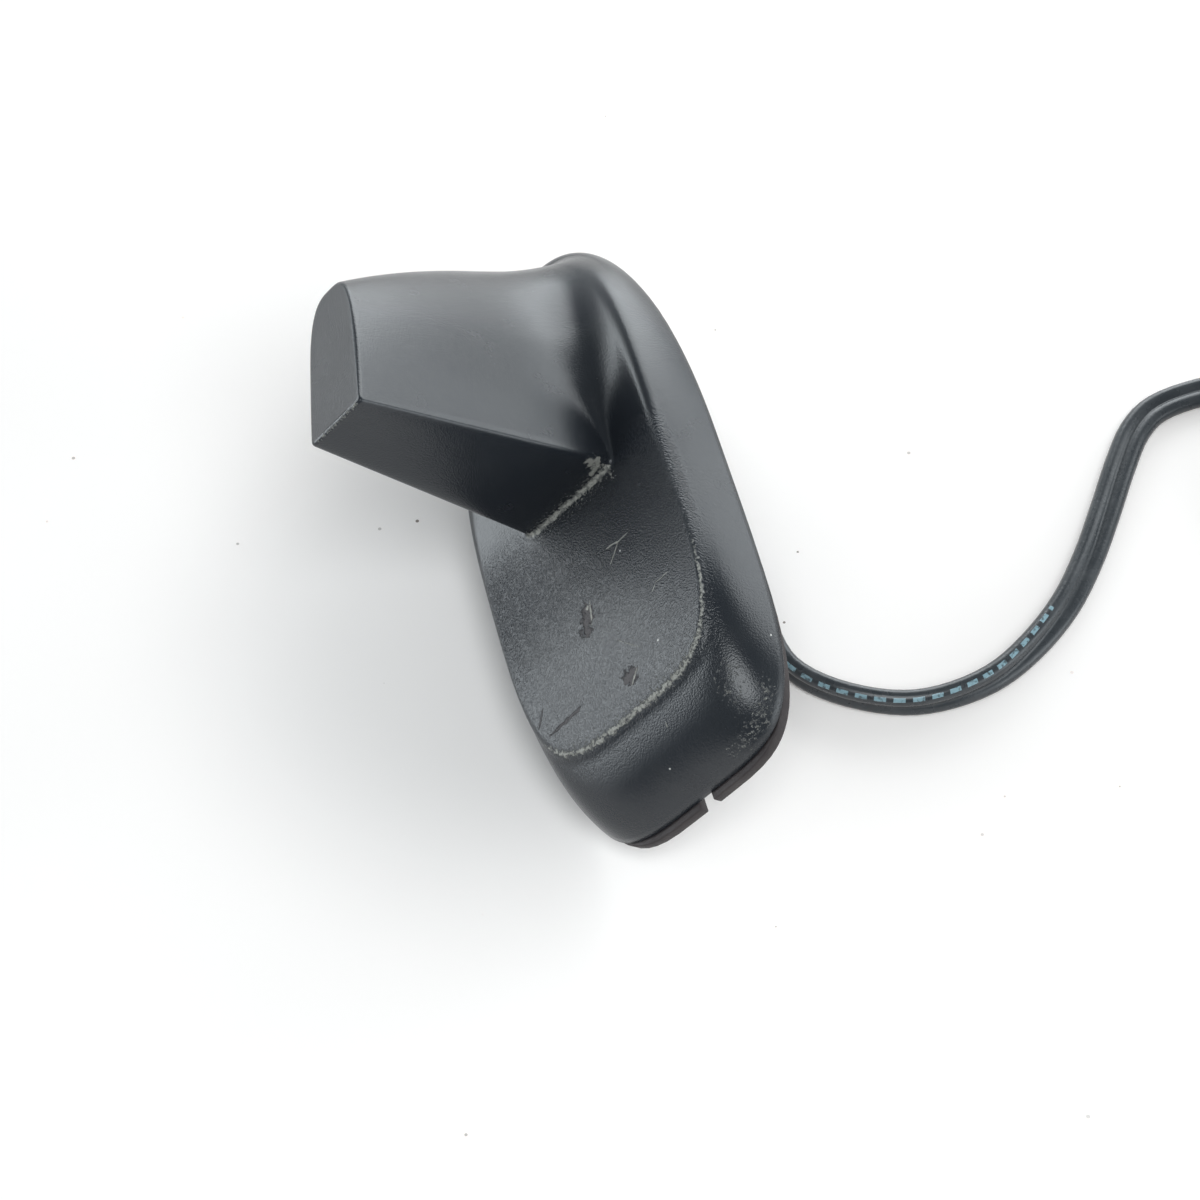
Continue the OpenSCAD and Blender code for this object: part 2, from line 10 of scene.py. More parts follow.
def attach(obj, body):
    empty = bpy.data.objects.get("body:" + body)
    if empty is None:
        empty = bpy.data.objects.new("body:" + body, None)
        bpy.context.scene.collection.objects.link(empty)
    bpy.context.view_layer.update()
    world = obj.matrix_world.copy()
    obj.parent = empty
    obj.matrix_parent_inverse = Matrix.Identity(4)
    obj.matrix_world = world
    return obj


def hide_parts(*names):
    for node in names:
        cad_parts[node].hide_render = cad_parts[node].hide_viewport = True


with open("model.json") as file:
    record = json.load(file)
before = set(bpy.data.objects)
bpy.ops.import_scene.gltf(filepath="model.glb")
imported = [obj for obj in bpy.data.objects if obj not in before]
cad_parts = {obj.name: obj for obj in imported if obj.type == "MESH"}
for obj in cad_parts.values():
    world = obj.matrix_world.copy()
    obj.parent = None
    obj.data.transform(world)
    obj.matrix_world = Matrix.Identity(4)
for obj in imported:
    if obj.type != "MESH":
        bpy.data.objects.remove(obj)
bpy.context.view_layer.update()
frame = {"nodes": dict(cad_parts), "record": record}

mm = 0.001
scene = bpy.context.scene
scene.view_settings.view_transform = "Standard"

# camera at the photograph's viewing angle
shot = {
    "place": (-279.3, 316.8, 370.2),
    "right": (-0.6497, 0.2521, -0.7171),
    "back": (-0.5157, 0.5469, 0.6595),
    "lens": 94.575,
}


def makeCamera():
    data = bpy.data.cameras.new("camera")
    data.lens, data.sensor_width = shot["lens"], 36
    data.clip_start, data.clip_end = 0.01, 20
    cam = bpy.data.objects.new("camera", data)
    scene.collection.objects.link(cam)
    back = Vector(shot["back"]).normalized()
    up = back.cross(Vector(shot["right"])).normalized()
    turn = Matrix((up.cross(back), up, back)).transposed().to_4x4()
    cam.matrix_world = Matrix.Translation(Vector(shot["place"]) * mm) @ turn
    scene.camera = cam


makeCamera()
print("camera placed")

# the table leans, because the antenna keeps its own upright frame
table = {"tilt": math.radians(46.65), "height": -18.6, "reach": 900, "middle": (0, 60)}
tableUp = Vector((-math.sin(table["tilt"]), 0, math.cos(table["tilt"])))
tableAcross = Vector((-math.cos(table["tilt"]), 0, -math.sin(table["tilt"])))
alongY = Vector((0, 1, 0))


def onTable(along, across, height):
    return alongY * along + tableAcross * across + tableUp * height


# node helpers
def put(tree, kind, inputs=None, **settings):
    node = tree.nodes.new("ShaderNode" + kind)
    for key, value in settings.items():
        setattr(node, key, value)
    for key, value in (inputs or {}).items():
        if isinstance(value, bpy.types.NodeSocket):
            tree.links.new(value, node.inputs[key])
        else:
            node.inputs[key].default_value = value
    return node


def calc(tree, operation, *values, clamp=False):
    node = put(tree, "Math", dict(enumerate(values)), operation=operation, use_clamp=clamp)
    return node.outputs[0]


def times(tree, product, *others):
    for other in others:
        product = calc(tree, "MULTIPLY", product, other)
    return product


def vectorCalc(tree, operation, a, b=None):
    inputs = {0: a} if b is None else {0: a, 1: b}
    node = put(tree, "VectorMath", inputs, operation=operation)
    return node.outputs["Value" if operation in ("LENGTH", "DOT_PRODUCT", "DISTANCE") else "Vector"]


def scaled(tree, vector, factor):
    return put(tree, "VectorMath", {0: vector, "Scale": factor}, operation="SCALE").outputs[0]


def remap(tree, value, low, high, toLow=0.0, toHigh=1.0, kind="SMOOTHSTEP"):
    return put(tree, "MapRange", {0: value, 1: low, 2: high, 3: toLow, 4: toHigh},
               interpolation_type=kind).outputs[0]


def mixed(tree, factor, a, b):
    return put(tree, "Mix", {0: factor, 6: a, 7: b}, data_type="RGBA").outputs[2]


# every group takes the place as its first input and has one output
def newGroup(name, inputs, output, kind="Float"):
    tree = bpy.data.node_groups.new(name, "ShaderNodeTree")
    for label, given, value in [("Place", "Vector", None)] + inputs:
        made = tree.interface.new_socket(label, in_out="INPUT", socket_type="NodeSocket" + given)
        if value is not None:
            made.default_value = value
    tree.interface.new_socket(output, in_out="OUTPUT", socket_type="NodeSocket" + kind)
    return tree, tree.nodes.new("NodeGroupInput").outputs, tree.nodes.new("NodeGroupOutput").inputs


def noiseIn(tree, place, scale, detail=3.0, roughness=0.55):
    return put(tree, "TexNoise", {"Vector": place, "Scale": scale, "Detail": detail,
                                  "Roughness": roughness}).outputs[0]


# fine moulded grain: rounded cells broken up by noise
def makeGrainGroup():
    tree, given, out = newGroup("mouldedGrain", [("Scale", "Float", 2.4), ("Depth", "Float", 1.0)],
                                "Height")
    cells = put(tree, "TexVoronoi", {"Vector": given["Place"], "Scale": given["Scale"]})
    cells = remap(tree, cells.outputs["Distance"], 0.05, 0.8)
    rough = noiseIn(tree, given["Place"], times(tree, given["Scale"], 1.7), 2.0)
    both = calc(tree, "ADD", times(tree, cells, 0.45), times(tree, rough, 0.6))
    tree.links.new(times(tree, both, given["Depth"]), out["Height"])
    return tree


# slow change from one colour to another over the surface
def makeDriftGroup():
    tree, given, out = newGroup("colourDrift", [("Scale", "Float", 0.05), ("Base", "Color", None),
                                ("Other", "Color", None), ("Amount", "Float", 0.5)],
                                "Colour", "Color")
    wide = noiseIn(tree, given["Place"], given["Scale"], 4.0)
    share = times(tree, remap(tree, wide, 0.35, 0.65), given["Amount"])
    tree.links.new(mixed(tree, share, given["Base"], given["Other"]), out["Colour"])
    return tree


# breaks a smooth line up into ragged patches, of rubbed wear and of painted highlight
def makeWearAndHighlightGroup():
    tree, given, out = newGroup("edgeWearAndHighlight", [("Worn", "Float", 0.0), ("Scale", "Float", 1.6),
                                ("Ragged", "Float", 0.9)], "Mask")
    fine = noiseIn(tree, given["Place"], given["Scale"], 5.0, 0.65)
    shift = times(tree, calc(tree, "SUBTRACT", fine, 0.5), given["Ragged"])
    there = remap(tree, given["Worn"], 0.02, 0.25)
    level = remap(tree, calc(tree, "ADD", given["Worn"], shift), 0.35, 0.75)
    tree.links.new(times(tree, level, there), out["Mask"])
    return tree


# scattered round specks of dust
def makeDustGroup():
    tree, given, out = newGroup("dustSpecks", [("Scale", "Float", 0.25), ("Share", "Float", 0.2),
                                ("Size", "Float", 0.05)], "Mask")
    cells = put(tree, "TexVoronoi", {"Vector": given["Place"], "Scale": given["Scale"]})
    pick = put(tree, "SeparateColor", {0: cells.outputs["Color"]}).outputs
    chosen = calc(tree, "LESS_THAN", pick[0], given["Share"])
    size = times(tree, given["Size"], calc(tree, "ADD", pick[1], 0.3))
    near = calc(tree, "LESS_THAN", cells.outputs["Distance"], size)
    tree.links.new(times(tree, chosen, near), out["Mask"])
    return tree


# one scratch from a start to an end, thin at both ends
def makeScratchGroup():
    tree, given, out = newGroup("scratchMark", [("Start", "Vector", None), ("End", "Vector", None),
                                ("Width", "Float", 0.3)], "Mask")
    jitter = put(tree, "TexNoise", {"Vector": given["Place"], "Scale": 0.9, "Detail": 3.0})
    offset = scaled(tree, vectorCalc(tree, "SUBTRACT", jitter.outputs[1], (0.5, 0.5, 0.5)),
                    times(tree, given["Width"], 2.4))   # makes the edge ragged
    at = vectorCalc(tree, "ADD", given["Place"], offset)
    line = vectorCalc(tree, "SUBTRACT", given["End"], given["Start"])
    off = vectorCalc(tree, "SUBTRACT", at, given["Start"])
    share = calc(tree, "DIVIDE", vectorCalc(tree, "DOT_PRODUCT", off, line),
                 vectorCalc(tree, "DOT_PRODUCT", line, line), clamp=True)
    away = vectorCalc(tree, "LENGTH", vectorCalc(tree, "SUBTRACT", off, scaled(tree, line, share)))
    taper = calc(tree, "SQRT", times(tree, share, calc(tree, "SUBTRACT", 1.0, share), 4.0))
    reach = calc(tree, "ADD", times(tree, given["Width"], taper), 0.001)
    tree.links.new(remap(tree, calc(tree, "DIVIDE", away, reach), 1.0, 0.45), out["Mask"])
    return tree


groups = {
    "grain": makeGrainGroup(), "drift": makeDriftGroup(), "wearAndHighlight": makeWearAndHighlightGroup(),
    "dust": makeDustGroup(), "scratch": makeScratchGroup(),
}


def useGroup(tree, name, place, **inputs):
    return put(tree, "Group", {"Place": place, **inputs}, node_tree=groups[name]).outputs[0]


def newMaterial(name):
    material = bpy.data.materials.new(name)
    material.use_nodes = True
    tree = material.node_tree
    shader = tree.nodes["Principled BSDF"]
    place = scaled(tree, put(tree, "TexCoord").outputs["Object"], 1000.0)
    return material, tree, shader, place


def feed(tree, shader, **values):
    for label, value in values.items():
        socket = shader.inputs[label.replace("_", " ")]
        if isinstance(value, bpy.types.NodeSocket):
            tree.links.new(value, socket)
        else:
            socket.default_value = value


# roughness that drifts between less and more than its level
def roughIn(tree, place, scale, detail, level, less, more):
    cloud = noiseIn(tree, place, scale, detail)
    return remap(tree, cloud, 0.3, 0.7, level - less, level + more, "LINEAR")


def bumpFrom(tree, height, distance, strength=1.0, under=None):
    inputs = {"Height": height, "Distance": distance * mm, "Strength": strength}
    if under:
        inputs["Normal"] = under
    return put(tree, "Bump", inputs).outputs[0]


def attributeOf(tree, name):
    return put(tree, "Attribute", attribute_name=name).outputs["Fac"]


# marks that this one cover carries, as start, end and width
gougeMarks = [
    ((2.6, 19.8, 13.3), (3.9, 23.2, 13.4), 2.1), ((3.6, 22.2, 13.4), (5.2, 25.6, 13.5), 1.7),
    ((-3.6, 37.5, 14), (-0.6, 38.9, 14.1), 1.8), ((-2.4, 37.4, 14), (-1.4, 40, 14.1), 1.1),
    ((9.4, 36.6, 14), (18.7, 37.3, 14.2), 0.42), ((18.3, 31.4, 14), (20.4, 34.8, 14.2), 0.25),
]
# pale scratches and rubs; the marks along the gouges' edges are partly painted rim highlights
paleMarks = [
    ((-10.2, 13.2, 13.1), (-6.6, 13.4, 13.1), 0.2), ((-7.6, 13.2, 13.1), (-4.2, 12.8, 13), 0.24),
    ((-7.6, 13.4, 13.1), (-4.6, 16.2, 13.2), 0.18), ((-16.4, 26.1, 13.7), (-12.6, 26.1, 13.6), 0.13),
    ((-12.9, 26.2, 13.6), (-11, 27.6, 13.6), 0.12), ((2.1, 26.8, 13.5), (-6.2, 35.2, 13.9), 0.09),
    ((-4.9, 49, 12.1), (-4.5, 50.4, 11.6), 0.25), ((2.75, 19.9, 13.3), (3.1, 20.9, 13.3), 0.42),
    ((2, 19.4, 13.3), (3, 24.2, 13.4), 0.3), ((-4.2, 37.6, 14), (-1.8, 40.2, 14.1), 0.24),
    ((-9.2, -1.2, 17.9), (-10.9, -1.6, 14.8), 1.3), ((-10.8, -1.4, 15.2), (-6.8, -1.1, 14), 0.9),
]
speckMarks = [     # as a middle and a radius
    ((-7.5, 15.3, 13.1), 0.22), ((-14, -8.5, 13.8), 0.2), ((-14.7, -23, 12.9), 0.17),
    ((-25.1, 42.9, 4.1), 0.22), ((-0.1, 54.8, 8.9), 0.22), ((-9.9, 36.2, 14), 0.25),
]
coverLook = {
    "colour": (0.0125, 0.0155, 0.0205, 1), "other": (0.018, 0.021, 0.025, 1),
    # the pale rub colour is used for wear and also for painted highlights
    "rubbedAndHighlight": (0.32, 0.32, 0.29, 1), "gouged": (0.030, 0.024, 0.026, 1),
    "speck": (0.5, 0.5, 0.48, 1), "roughness": 0.245,
    "wornAndHighlightShare": 0.8, "gougedShare": 0.85, "paleShare": 0.75, "dustShare": 0.35,
    "creaseShare": (0.28, 0.85),    # least and most, mottled
    "grain": 2.7, "grainDepth": 0.11,
    "plainGrain": 0.3, "wornAndHighlightGrain": 1.3,
    "deckGrain": (1.6, 0.55),       # by the blade and at the rear edge
    "rubDepth": 0.7, "dentDepth": 0.25, "scratchRise": 0.3,
}


def maskOfMarks(tree, place, rows):
    total = None
    for row in rows:
        if len(row) == 3:
            made = useGroup(tree, "scratch", place, Start=row[0], End=row[1], Width=row[2])
        else:
            far = vectorCalc(tree, "DISTANCE", place, row[0])
            made = remap(tree, far, row[1], row[1] * 0.6)
        total = made if total is None else calc(tree, "MAXIMUM", total, made)
    return total


def makeCoverMaterial():
    material, tree, shader, place = newMaterial("moulded_black_plastic")
    look = coverLook
    base = useGroup(tree, "drift", place, Scale=0.06, Base=look["colour"], Other=look["other"],
                    Amount=0.8)
    wornAndHighlight = useGroup(tree, "wearAndHighlight", place, Worn=attributeOf(tree, "wornAndHighlight"), Scale=1.7, Ragged=2.2)
    crease = useGroup(tree, "wearAndHighlight", place, Worn=attributeOf(tree, "crease"), Scale=2.1, Ragged=2.3)
    gouged = maskOfMarks(tree, place, gougeMarks)
    pale = maskOfMarks(tree, place, paleMarks)
    specks = maskOfMarks(tree, place, speckMarks)
    dust = useGroup(tree, "dust", place, Scale=0.16, Share=0.25, Size=0.02)
    # pale rub colour: rubbed wear, plus painted highlights on the skirt's near rear corner, along
    # the blade's foot crease and on the gouges' rims
    colour = mixed(tree, times(tree, wornAndHighlight, look["wornAndHighlightShare"]), base, look["rubbedAndHighlight"])
    mottled = remap(tree, noiseIn(tree, place, 0.95, 5.0, 0.65), 0.4, 0.58, *look["creaseShare"])
    colour = mixed(tree, times(tree, crease, mottled), colour, look["rubbedAndHighlight"])
    colour = mixed(tree, times(tree, gouged, look["gougedShare"]), colour, look["gouged"])
    colour = mixed(tree, times(tree, pale, look["paleShare"]), colour, look["rubbedAndHighlight"])
    dust = times(tree, dust, look["dustShare"])
    colour = mixed(tree, calc(tree, "MAXIMUM", specks, dust), colour, look["speck"])
    rough = roughIn(tree, place, 0.11, 5.0, look["roughness"], 0.03, 0.04)
    rough = calc(tree, "ADD", rough, times(tree, calc(tree, "MAXIMUM", gouged, crease), 0.3))
    spot = put(tree, "SeparateXYZ", {0: place}).outputs
    deck = times(tree, remap(tree, spot["Z"], 17.0, 15.0), remap(tree, spot["Z"], 11.0, 12.8),
                 remap(tree, spot["Y"], -8.0, 6.0),
                 remap(tree, spot["Y"], 10.0, 30.0, *look["deckGrain"]))
    deck = calc(tree, "ADD", deck, look["plainGrain"])
    grain = useGroup(tree, "grain", place, Scale=look["grain"],
                     Depth=calc(tree, "ADD", deck, times(tree, wornAndHighlight, look["wornAndHighlightGrain"])))
    rubs = times(tree, noiseIn(tree, place, 3.2, 4.0), wornAndHighlight, look["rubDepth"])
    height = calc(tree, "ADD", grain, rubs)
    bump = bumpFrom(tree, height, look["grainDepth"])
    dents = calc(tree, "SUBTRACT", times(tree, pale, look["scratchRise"]), gouged)
    bump = bumpFrom(tree, dents, look["dentDepth"], 1.0, bump)
    feed(tree, shader, Base_Color=colour, Roughness=rough, Normal=bump, IOR=1.5)
    return material


# the plainer finishes by slot: name, two colours, roughness, metal, the grain's scale and depth,
# and the share of dust
finishes = {
    "seal": ("gasket_rubber", (0.022, 0.016, 0.017), (0.036, 0.028, 0.028), 0.62, 0, 1.8, 0.06, 0.1),
    "foot": ("cast_foot", (0.48, 0.49, 0.5), (0.38, 0.385, 0.39), 0.46, 1, 1.2, 0.09, 0.05),
    "screw": ("zinc_screw", (0.42, 0.42, 0.41), (0.30, 0.29, 0.27), 0.35, 1, 4.0, 0.02, 0.05),
    "tinned": ("tinned_sheet", (0.62, 0.63, 0.64), (0.5, 0.51, 0.52), 0.3, 1, 3.0, 0.01, 0.03),
    "contact": ("plated_contact", (0.76, 0.58, 0.24), (0.62, 0.46, 0.2), 0.28, 1, 5.0, 0.008, 0.02),
    "ceramic": ("patch_ceramic", (0.52, 0.42, 0.29), (0.44, 0.35, 0.24), 0.7, 0, 3.0, 0.03, 0.04),
    "chip": ("chip_moulding", (0.012, 0.012, 0.013), (0.02, 0.02, 0.021), 0.5, 0, 6.0, 0.02, 0.04),
    "foam": ("open_foam", (0.018, 0.018, 0.02), (0.035, 0.035, 0.037), 0.95, 0, 2.2, 0.35, 0.12),
    "sleeve": ("shrunk_tube", (0.014, 0.014, 0.015), (0.024, 0.024, 0.025), 0.5, 0, 1.4, 0.05, 0.1),
    "plug": ("plug_moulding", (0.018, 0.018, 0.02), (0.028, 0.028, 0.03), 0.42, 0, 3.0, 0.03, 0.08),
}


def makeFinish(name, base, other, roughness, metal, grainScale, grainDepth, dustShare):
    material, tree, shader, place = newMaterial(name)
    colour = useGroup(tree, "drift", place, Scale=0.18, Base=(*base, 1), Other=(*other, 1),
                      Amount=0.9)
    dust = useGroup(tree, "dust", place, Scale=0.5, Share=dustShare, Size=0.06)
    colour = mixed(tree, times(tree, dust, 0.4), colour, (0.4, 0.39, 0.37, 1))
    rough = roughIn(tree, place, 0.4, 4.0, roughness, 0.06, 0.06)
    grain = useGroup(tree, "grain", place, Scale=grainScale, Depth=1.0)
    feed(tree, shader, Base_Color=colour, Roughness=rough, Metallic=metal,
         Normal=bumpFrom(tree, grain, grainDepth))
    return material


# solder mask with tracks under it and bare pads
def makeBoardMaterial():
    material, tree, shader, place = newMaterial("solder_mask")
    lane = put(tree, "TexBrick", {
        "Vector": place, "Color1": (0, 0, 0, 1), "Color2": (0.2, 0.2, 0.2, 1),
        "Mortar": (1, 1, 1, 1), "Scale": 1.0, "Mortar Size": 0.09, "Brick Width": 3.1,
        "Row Height": 0.9}).outputs[0]
    pads = useGroup(tree, "dust", place, Scale=0.45, Share=0.4, Size=0.22)
    mask = useGroup(tree, "drift", place, Scale=0.3, Base=(0.015, 0.11, 0.05, 1),
                    Other=(0.02, 0.14, 0.06, 1), Amount=0.8)
    colour = mixed(tree, times(tree, lane, 0.55), mask, (0.05, 0.22, 0.08, 1))
    colour = mixed(tree, pads, colour, (0.7, 0.55, 0.3, 1))
    grain = useGroup(tree, "grain", place, Scale=4.0, Depth=0.3)
    height = calc(tree, "ADD", grain, lane)
    rough = calc(tree, "SUBTRACT", 0.38, times(tree, pads, 0.1))
    feed(tree, shader, Base_Color=colour, Roughness=rough, Metallic=times(tree, pads, 0.9),
         Normal=bumpFrom(tree, height, 0.02))
    return material


# glossy jacket with plain worn dashes printed along one coax
leadLook = {
    "colour": (0.033, 0.038, 0.043, 1), "other": (0.046, 0.051, 0.056, 1), "roughness": 0.27,
    "print": (0.24, 0.37, 0.42, 1),
    "printFrom": 31, "printTo": 90,             # mm along the lead
    "printAt": 0.325, "printWidth": 0.033,      # share of the way round the section
    "dash": 3.3, "dashShare": 0.62,
}


def makeJacketMaterial(printed):
    look = leadLook
    material, tree, shader, place = newMaterial("lead_jacket_printed" if printed else "lead_jacket")
    colour = useGroup(tree, "drift", place, Scale=0.2, Base=look["colour"], Other=look["other"],
                      Amount=0.8)
    dust = useGroup(tree, "dust", place, Scale=0.4, Share=0.1, Size=0.05)
    colour = mixed(tree, times(tree, dust, 0.3), colour, (0.4, 0.4, 0.38, 1))
    if printed:
        along, turn = attributeOf(tree, "along"), attributeOf(tree, "round")
        beat = calc(tree, "DIVIDE", calc(tree, "MODULO", along, look["dash"]), look["dash"])
        dash = calc(tree, "LESS_THAN", beat, look["dashShare"])
        inLength = times(tree, calc(tree, "GREATER_THAN", along, look["printFrom"]),
                         calc(tree, "LESS_THAN", along, look["printTo"]))
        off = calc(tree, "ABSOLUTE", calc(tree, "SUBTRACT", turn, look["printAt"]))
        band = calc(tree, "LESS_THAN", off, look["printWidth"])
        patchy = remap(tree, noiseIn(tree, place, 1.4, 4.0), 0.36, 0.5, 0.25)
        mask = times(tree, dash, inLength, band, patchy)
        colour = mixed(tree, mask, colour, look["print"])
    rough = roughIn(tree, place, 0.3, 4.0, look["roughness"], 0.04, 0.07)
    grain = useGroup(tree, "grain", place, Scale=1.2, Depth=1.0)
    feed(tree, shader, Base_Color=colour, Roughness=rough, Normal=bumpFrom(tree, grain, 0.02))
    return material


slotLooks = {slot: makeFinish(*row) for slot, row in finishes.items()}
slotLooks.update(cover=makeCoverMaterial(), board=makeBoardMaterial(),
                 lead=makeJacketMaterial(False))
printedJacket = makeJacketMaterial(True)
for part in frame["record"]["subparts"]:
    node = frame["nodes"][part["node"]]
    node.data.materials.clear()
    node.data.materials.append(slotLooks[part["material_slot"]])
print("finishes made")


def addObject(name, mesh, slot=None, smooth=True, look=None):
    obj = bpy.data.objects.new(name, mesh)
    scene.collection.objects.link(obj)
    for face in mesh.polygons:
        face.use_smooth = smooth
    if slot:
        mesh.materials.append(look or slotLooks[slot])
    return obj


def turnOutward(bm):
    bmesh.ops.recalc_face_normals(bm, faces=bm.faces)
    if bm.calc_volume(signed=True) < 0:
        bmesh.ops.reverse_faces(bm, faces=bm.faces)


def meshOf(name, points, faces):
    mesh = bpy.data.meshes.new(name)
    mesh.from_pydata([tuple(p * mm) for p in points], [], faces)
    bm = bmesh.new()
    bm.from_mesh(mesh)
    turnOutward(bm)
    bm.to_mesh(mesh)
    bm.free()
    return mesh


# faces between rings of equal count, closed at the start and, if wanted, at the end
def ringFaces(rings, count, closedEnd=True):
    faces = []
    for i in range(rings - 1):
        for j in range(count):
            k = (j + 1) % count
            a, b = i * count, (i + 1) * count
            faces.append((a + j, b + j, b + k, a + k))
    faces.append(tuple(range(count)))
    if closedEnd:
        faces.append(tuple((rings - 1) * count + j for j in reversed(range(count))))
    return faces


def smoothRoute(points, steps):
    made = []
    for i in range(len(points) - 1):
        a, b, c = points[max(i - 1, 0)], points[i], points[i + 1]
        d = points[min(i + 2, len(points) - 1)]
        for j in range(steps):
            t = j / steps
            made.append(0.5 * (2 * b + (c - a) * t + (2 * a - 5 * b + 4 * c - d) * t * t
                               + (3 * b - 3 * c + d - a) * t ** 3))
    return made + [points[-1]]


def tangentAt(points, i):
    return (points[min(i + 1, len(points) - 1)] - points[max(i - 1, 0)]).normalized()


# section points are (across, up) pairs; scales shrinks and rolls turns single rings
def sweepMesh(name, route, section, scales=None, rolls=None):
    points, count = [], len(section)
    for i, p in enumerate(route):
        t = tangentAt(route, i)
        side = tableUp.cross(t).normalized()
        if rolls:
            side = Matrix.Rotation(rolls[i], 3, t) @ side
        lift = t.cross(side)
        k = scales[i] if scales else 1
        points += [p + (side * x + lift * y) * k for x, y in section]
    mesh = meshOf(name, points, ringFaces(len(route), count))
    far = mesh.attributes.new("along", "FLOAT", "POINT")
    turn = mesh.attributes.new("round", "FLOAT", "POINT")
    travelled = 0.0
    for i, p in enumerate(route):
        travelled += (p - route[i - 1]).length if i else 0
        for j in range(count):
            far.data[i * count + j].value = travelled
            turn.data[i * count + j].value = j / count
    return mesh


def routeLength(points):
    return sum((b - a).length for a, b in zip(points, points[1:]))


# the flat lead: two bonded coaxes, from the stud's end to the shrunk sleeve
# a route's points are along and across the table and, where it isn't the lay, the height
lead = {
    "coax": 3.0,
    "web": 0.86,        # half thickness at the groove between the coaxes
    "groove": ((0.3, 0.8), (0.62, 0.965)),      # its flanks, in shares of a coax's radius
    "lay": -17.1,       # height of the lead's middle over the table's frame
    "start": ((0, 0, -18.5), (0, 0, -19.5), (0, 0, -20.9)),     # straight out of the stud
    "route": [
        (1.5, 18, -16.2), (5, 20.6), (11, 21.6), (19, 21.8), (27, 23.6), (33.5, 29.5), (38.5, 38.5),
        (40, 47), (38.5, 57), (34, 66), (27, 75), (18.5, 82.5), (9.5, 89), (0, 95.5), (-7, 101),
        (-11, 107), (-12.4, 116), (-12, 127), (-12, 138), (-12, 148),
    ],
    # degrees that it is rolled onto its edge, at each point of its start and route
    "rolls": [0, 0, 0, 20, 45, 68, 84, 92, 94, 92, 84, 70, 52, 35, 22, 12, 6, 2, 0, 0, 0, 0, 0],
    "rollShift": 0.7,   # sideways, where it stands on its edge
    "coilAt": (20, 148),
    "coilRadius": 32,
    "coilTurns": 2.25,
    "climbs": (296, 656),   # where the coil steps up onto its last turn, in degrees
    "climbLength": 32,
    "end": [
        (20, 180, -11.1), (30, 180, -11.1), (38, 179.4, -11.1), (44.5, 178, -11.4),
        (51, 175.6, -12.9), (57.5, 172.8, -15), (63.5, 170.2, -16.6), (69, 167.8),
    ],
    "steps": 4,         # rings between two points of a route
}


def layOut(points):
    return [onTable(p[0], p[1], p[2] if len(p) > 2 else lead["lay"]) for p in points]


def easeStep(t):
    t = max(0.0, min(1.0, t))
    return t * t * (3 - 2 * t)


def coilRoute():
    made = []
    total = 360 * lead["coilTurns"]
    steps = int(total / 9)
    for i in range(1, steps):
        swept = total * i / steps
        angle = math.radians(180 - swept)
        rise = sum(easeStep((swept - c) / lead["climbLength"]) for c in lead["climbs"])
        made.append(onTable(lead["coilAt"][0] + lead["coilRadius"] * math.cos(angle),
                            lead["coilAt"][1] + lead["coilRadius"] * math.sin(angle),
                            lead["lay"] + lead["coax"] * rise))
    return made


# half of the twin section from groove to groove, and the same half turned round
def twinSection(count=16):
    r = lead["coax"] / 2
    half = [(r * x, -r * y) for x, y in lead["groove"]]
    for i in range(count + 1):
        angle = math.pi * (i / count - 0.5)
        half.append((r + r * math.cos(angle) * 0.98, r * math.sin(angle)))
    half += [(r * x, r * y) for x, y in reversed(lead["groove"])] + [(0, lead["web"])]
    return half + [(-x, -y) for x, y in half]


def makeLead():
    steps = lead["steps"]
    start = [Vector(p) for p in lead["start"]]
    before = smoothRoute(start + layOut(lead["route"]), steps)
    after = smoothRoute(layOut(lead["end"]), steps)
    turns = smoothRoute([Vector((math.radians(r), 0, 0)) for r in lead["rolls"]], steps)
    rolls = [v.x for v in turns]
    for i in range(len(start) * steps, len(before)):
        part = math.sin(min(rolls[i], math.pi / 2))
        before[i] = (before[i] + tableUp * lead["coax"] / 2 * part
                     + alongY * lead["rollShift"] * part)
    path = before + coilRoute() + after
    rolls += [0] * (len(path) - len(rolls))
    mesh = sweepMesh("twin_lead_jacket", path, twinSection(), rolls=rolls)
    obj = addObject("twin_lead_jacket", mesh, "lead", look=printedJacket)
    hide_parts("twin_lead", "lead_coil", "lead_end")
    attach(obj, "root")


# a power of 1 makes it round
def squareSection(width, height, power, count=24):
    made = []
    for i in range(count):
        c, s = math.cos(2 * math.pi * i / count), math.sin(2 * math.pi * i / count)
        made.append((width / 2 * math.copysign(abs(c) ** power, c),
                     height / 2 * math.copysign(abs(s) ** power, s)))
    return made


# sleeve shrunk over the place where the two coaxes part
tube = {
    "ends": [(69.4, 167.6), (80, 163)], "width": 7, "height": 3.1, "squareness": 0.72,
    "taper": [(0, 0.88), (0.03, 0.94), (0.07, 0.97), (0.2, 0.99), (0.4, 1), (0.6, 1), (0.8, 0.99),
              (0.93, 0.97), (0.97, 0.94), (1, 0.88)],   # way along it, and scale there
}


def makeSleeve():
    a, b = layOut(tube["ends"])
    path = [a.lerp(b, way) for way, scale in tube["taper"]]
    section = squareSection(tube["width"], tube["height"], tube["squareness"])
    mesh = sweepMesh("shrunk_sleeve", path, section, [scale for way, scale in tube["taper"]])
    obj = addObject("shrunk_sleeve", mesh, "sleeve")
    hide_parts("split_sleeve")
    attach(obj, "root")
    return obj


def tableMatrix(along, across, turn=0.0):
    basis = Matrix((alongY, tableAcross, tableUp)).transposed().to_4x4()
    return (Matrix.Translation(onTable(along, across, table["height"])) @ basis
            @ Matrix.Rotation(turn, 4, "Z"))


def meshFrom(bm, name):
    mesh = bpy.data.meshes.new(name)
    bm.to_mesh(mesh)
    bm.free()
    return mesh


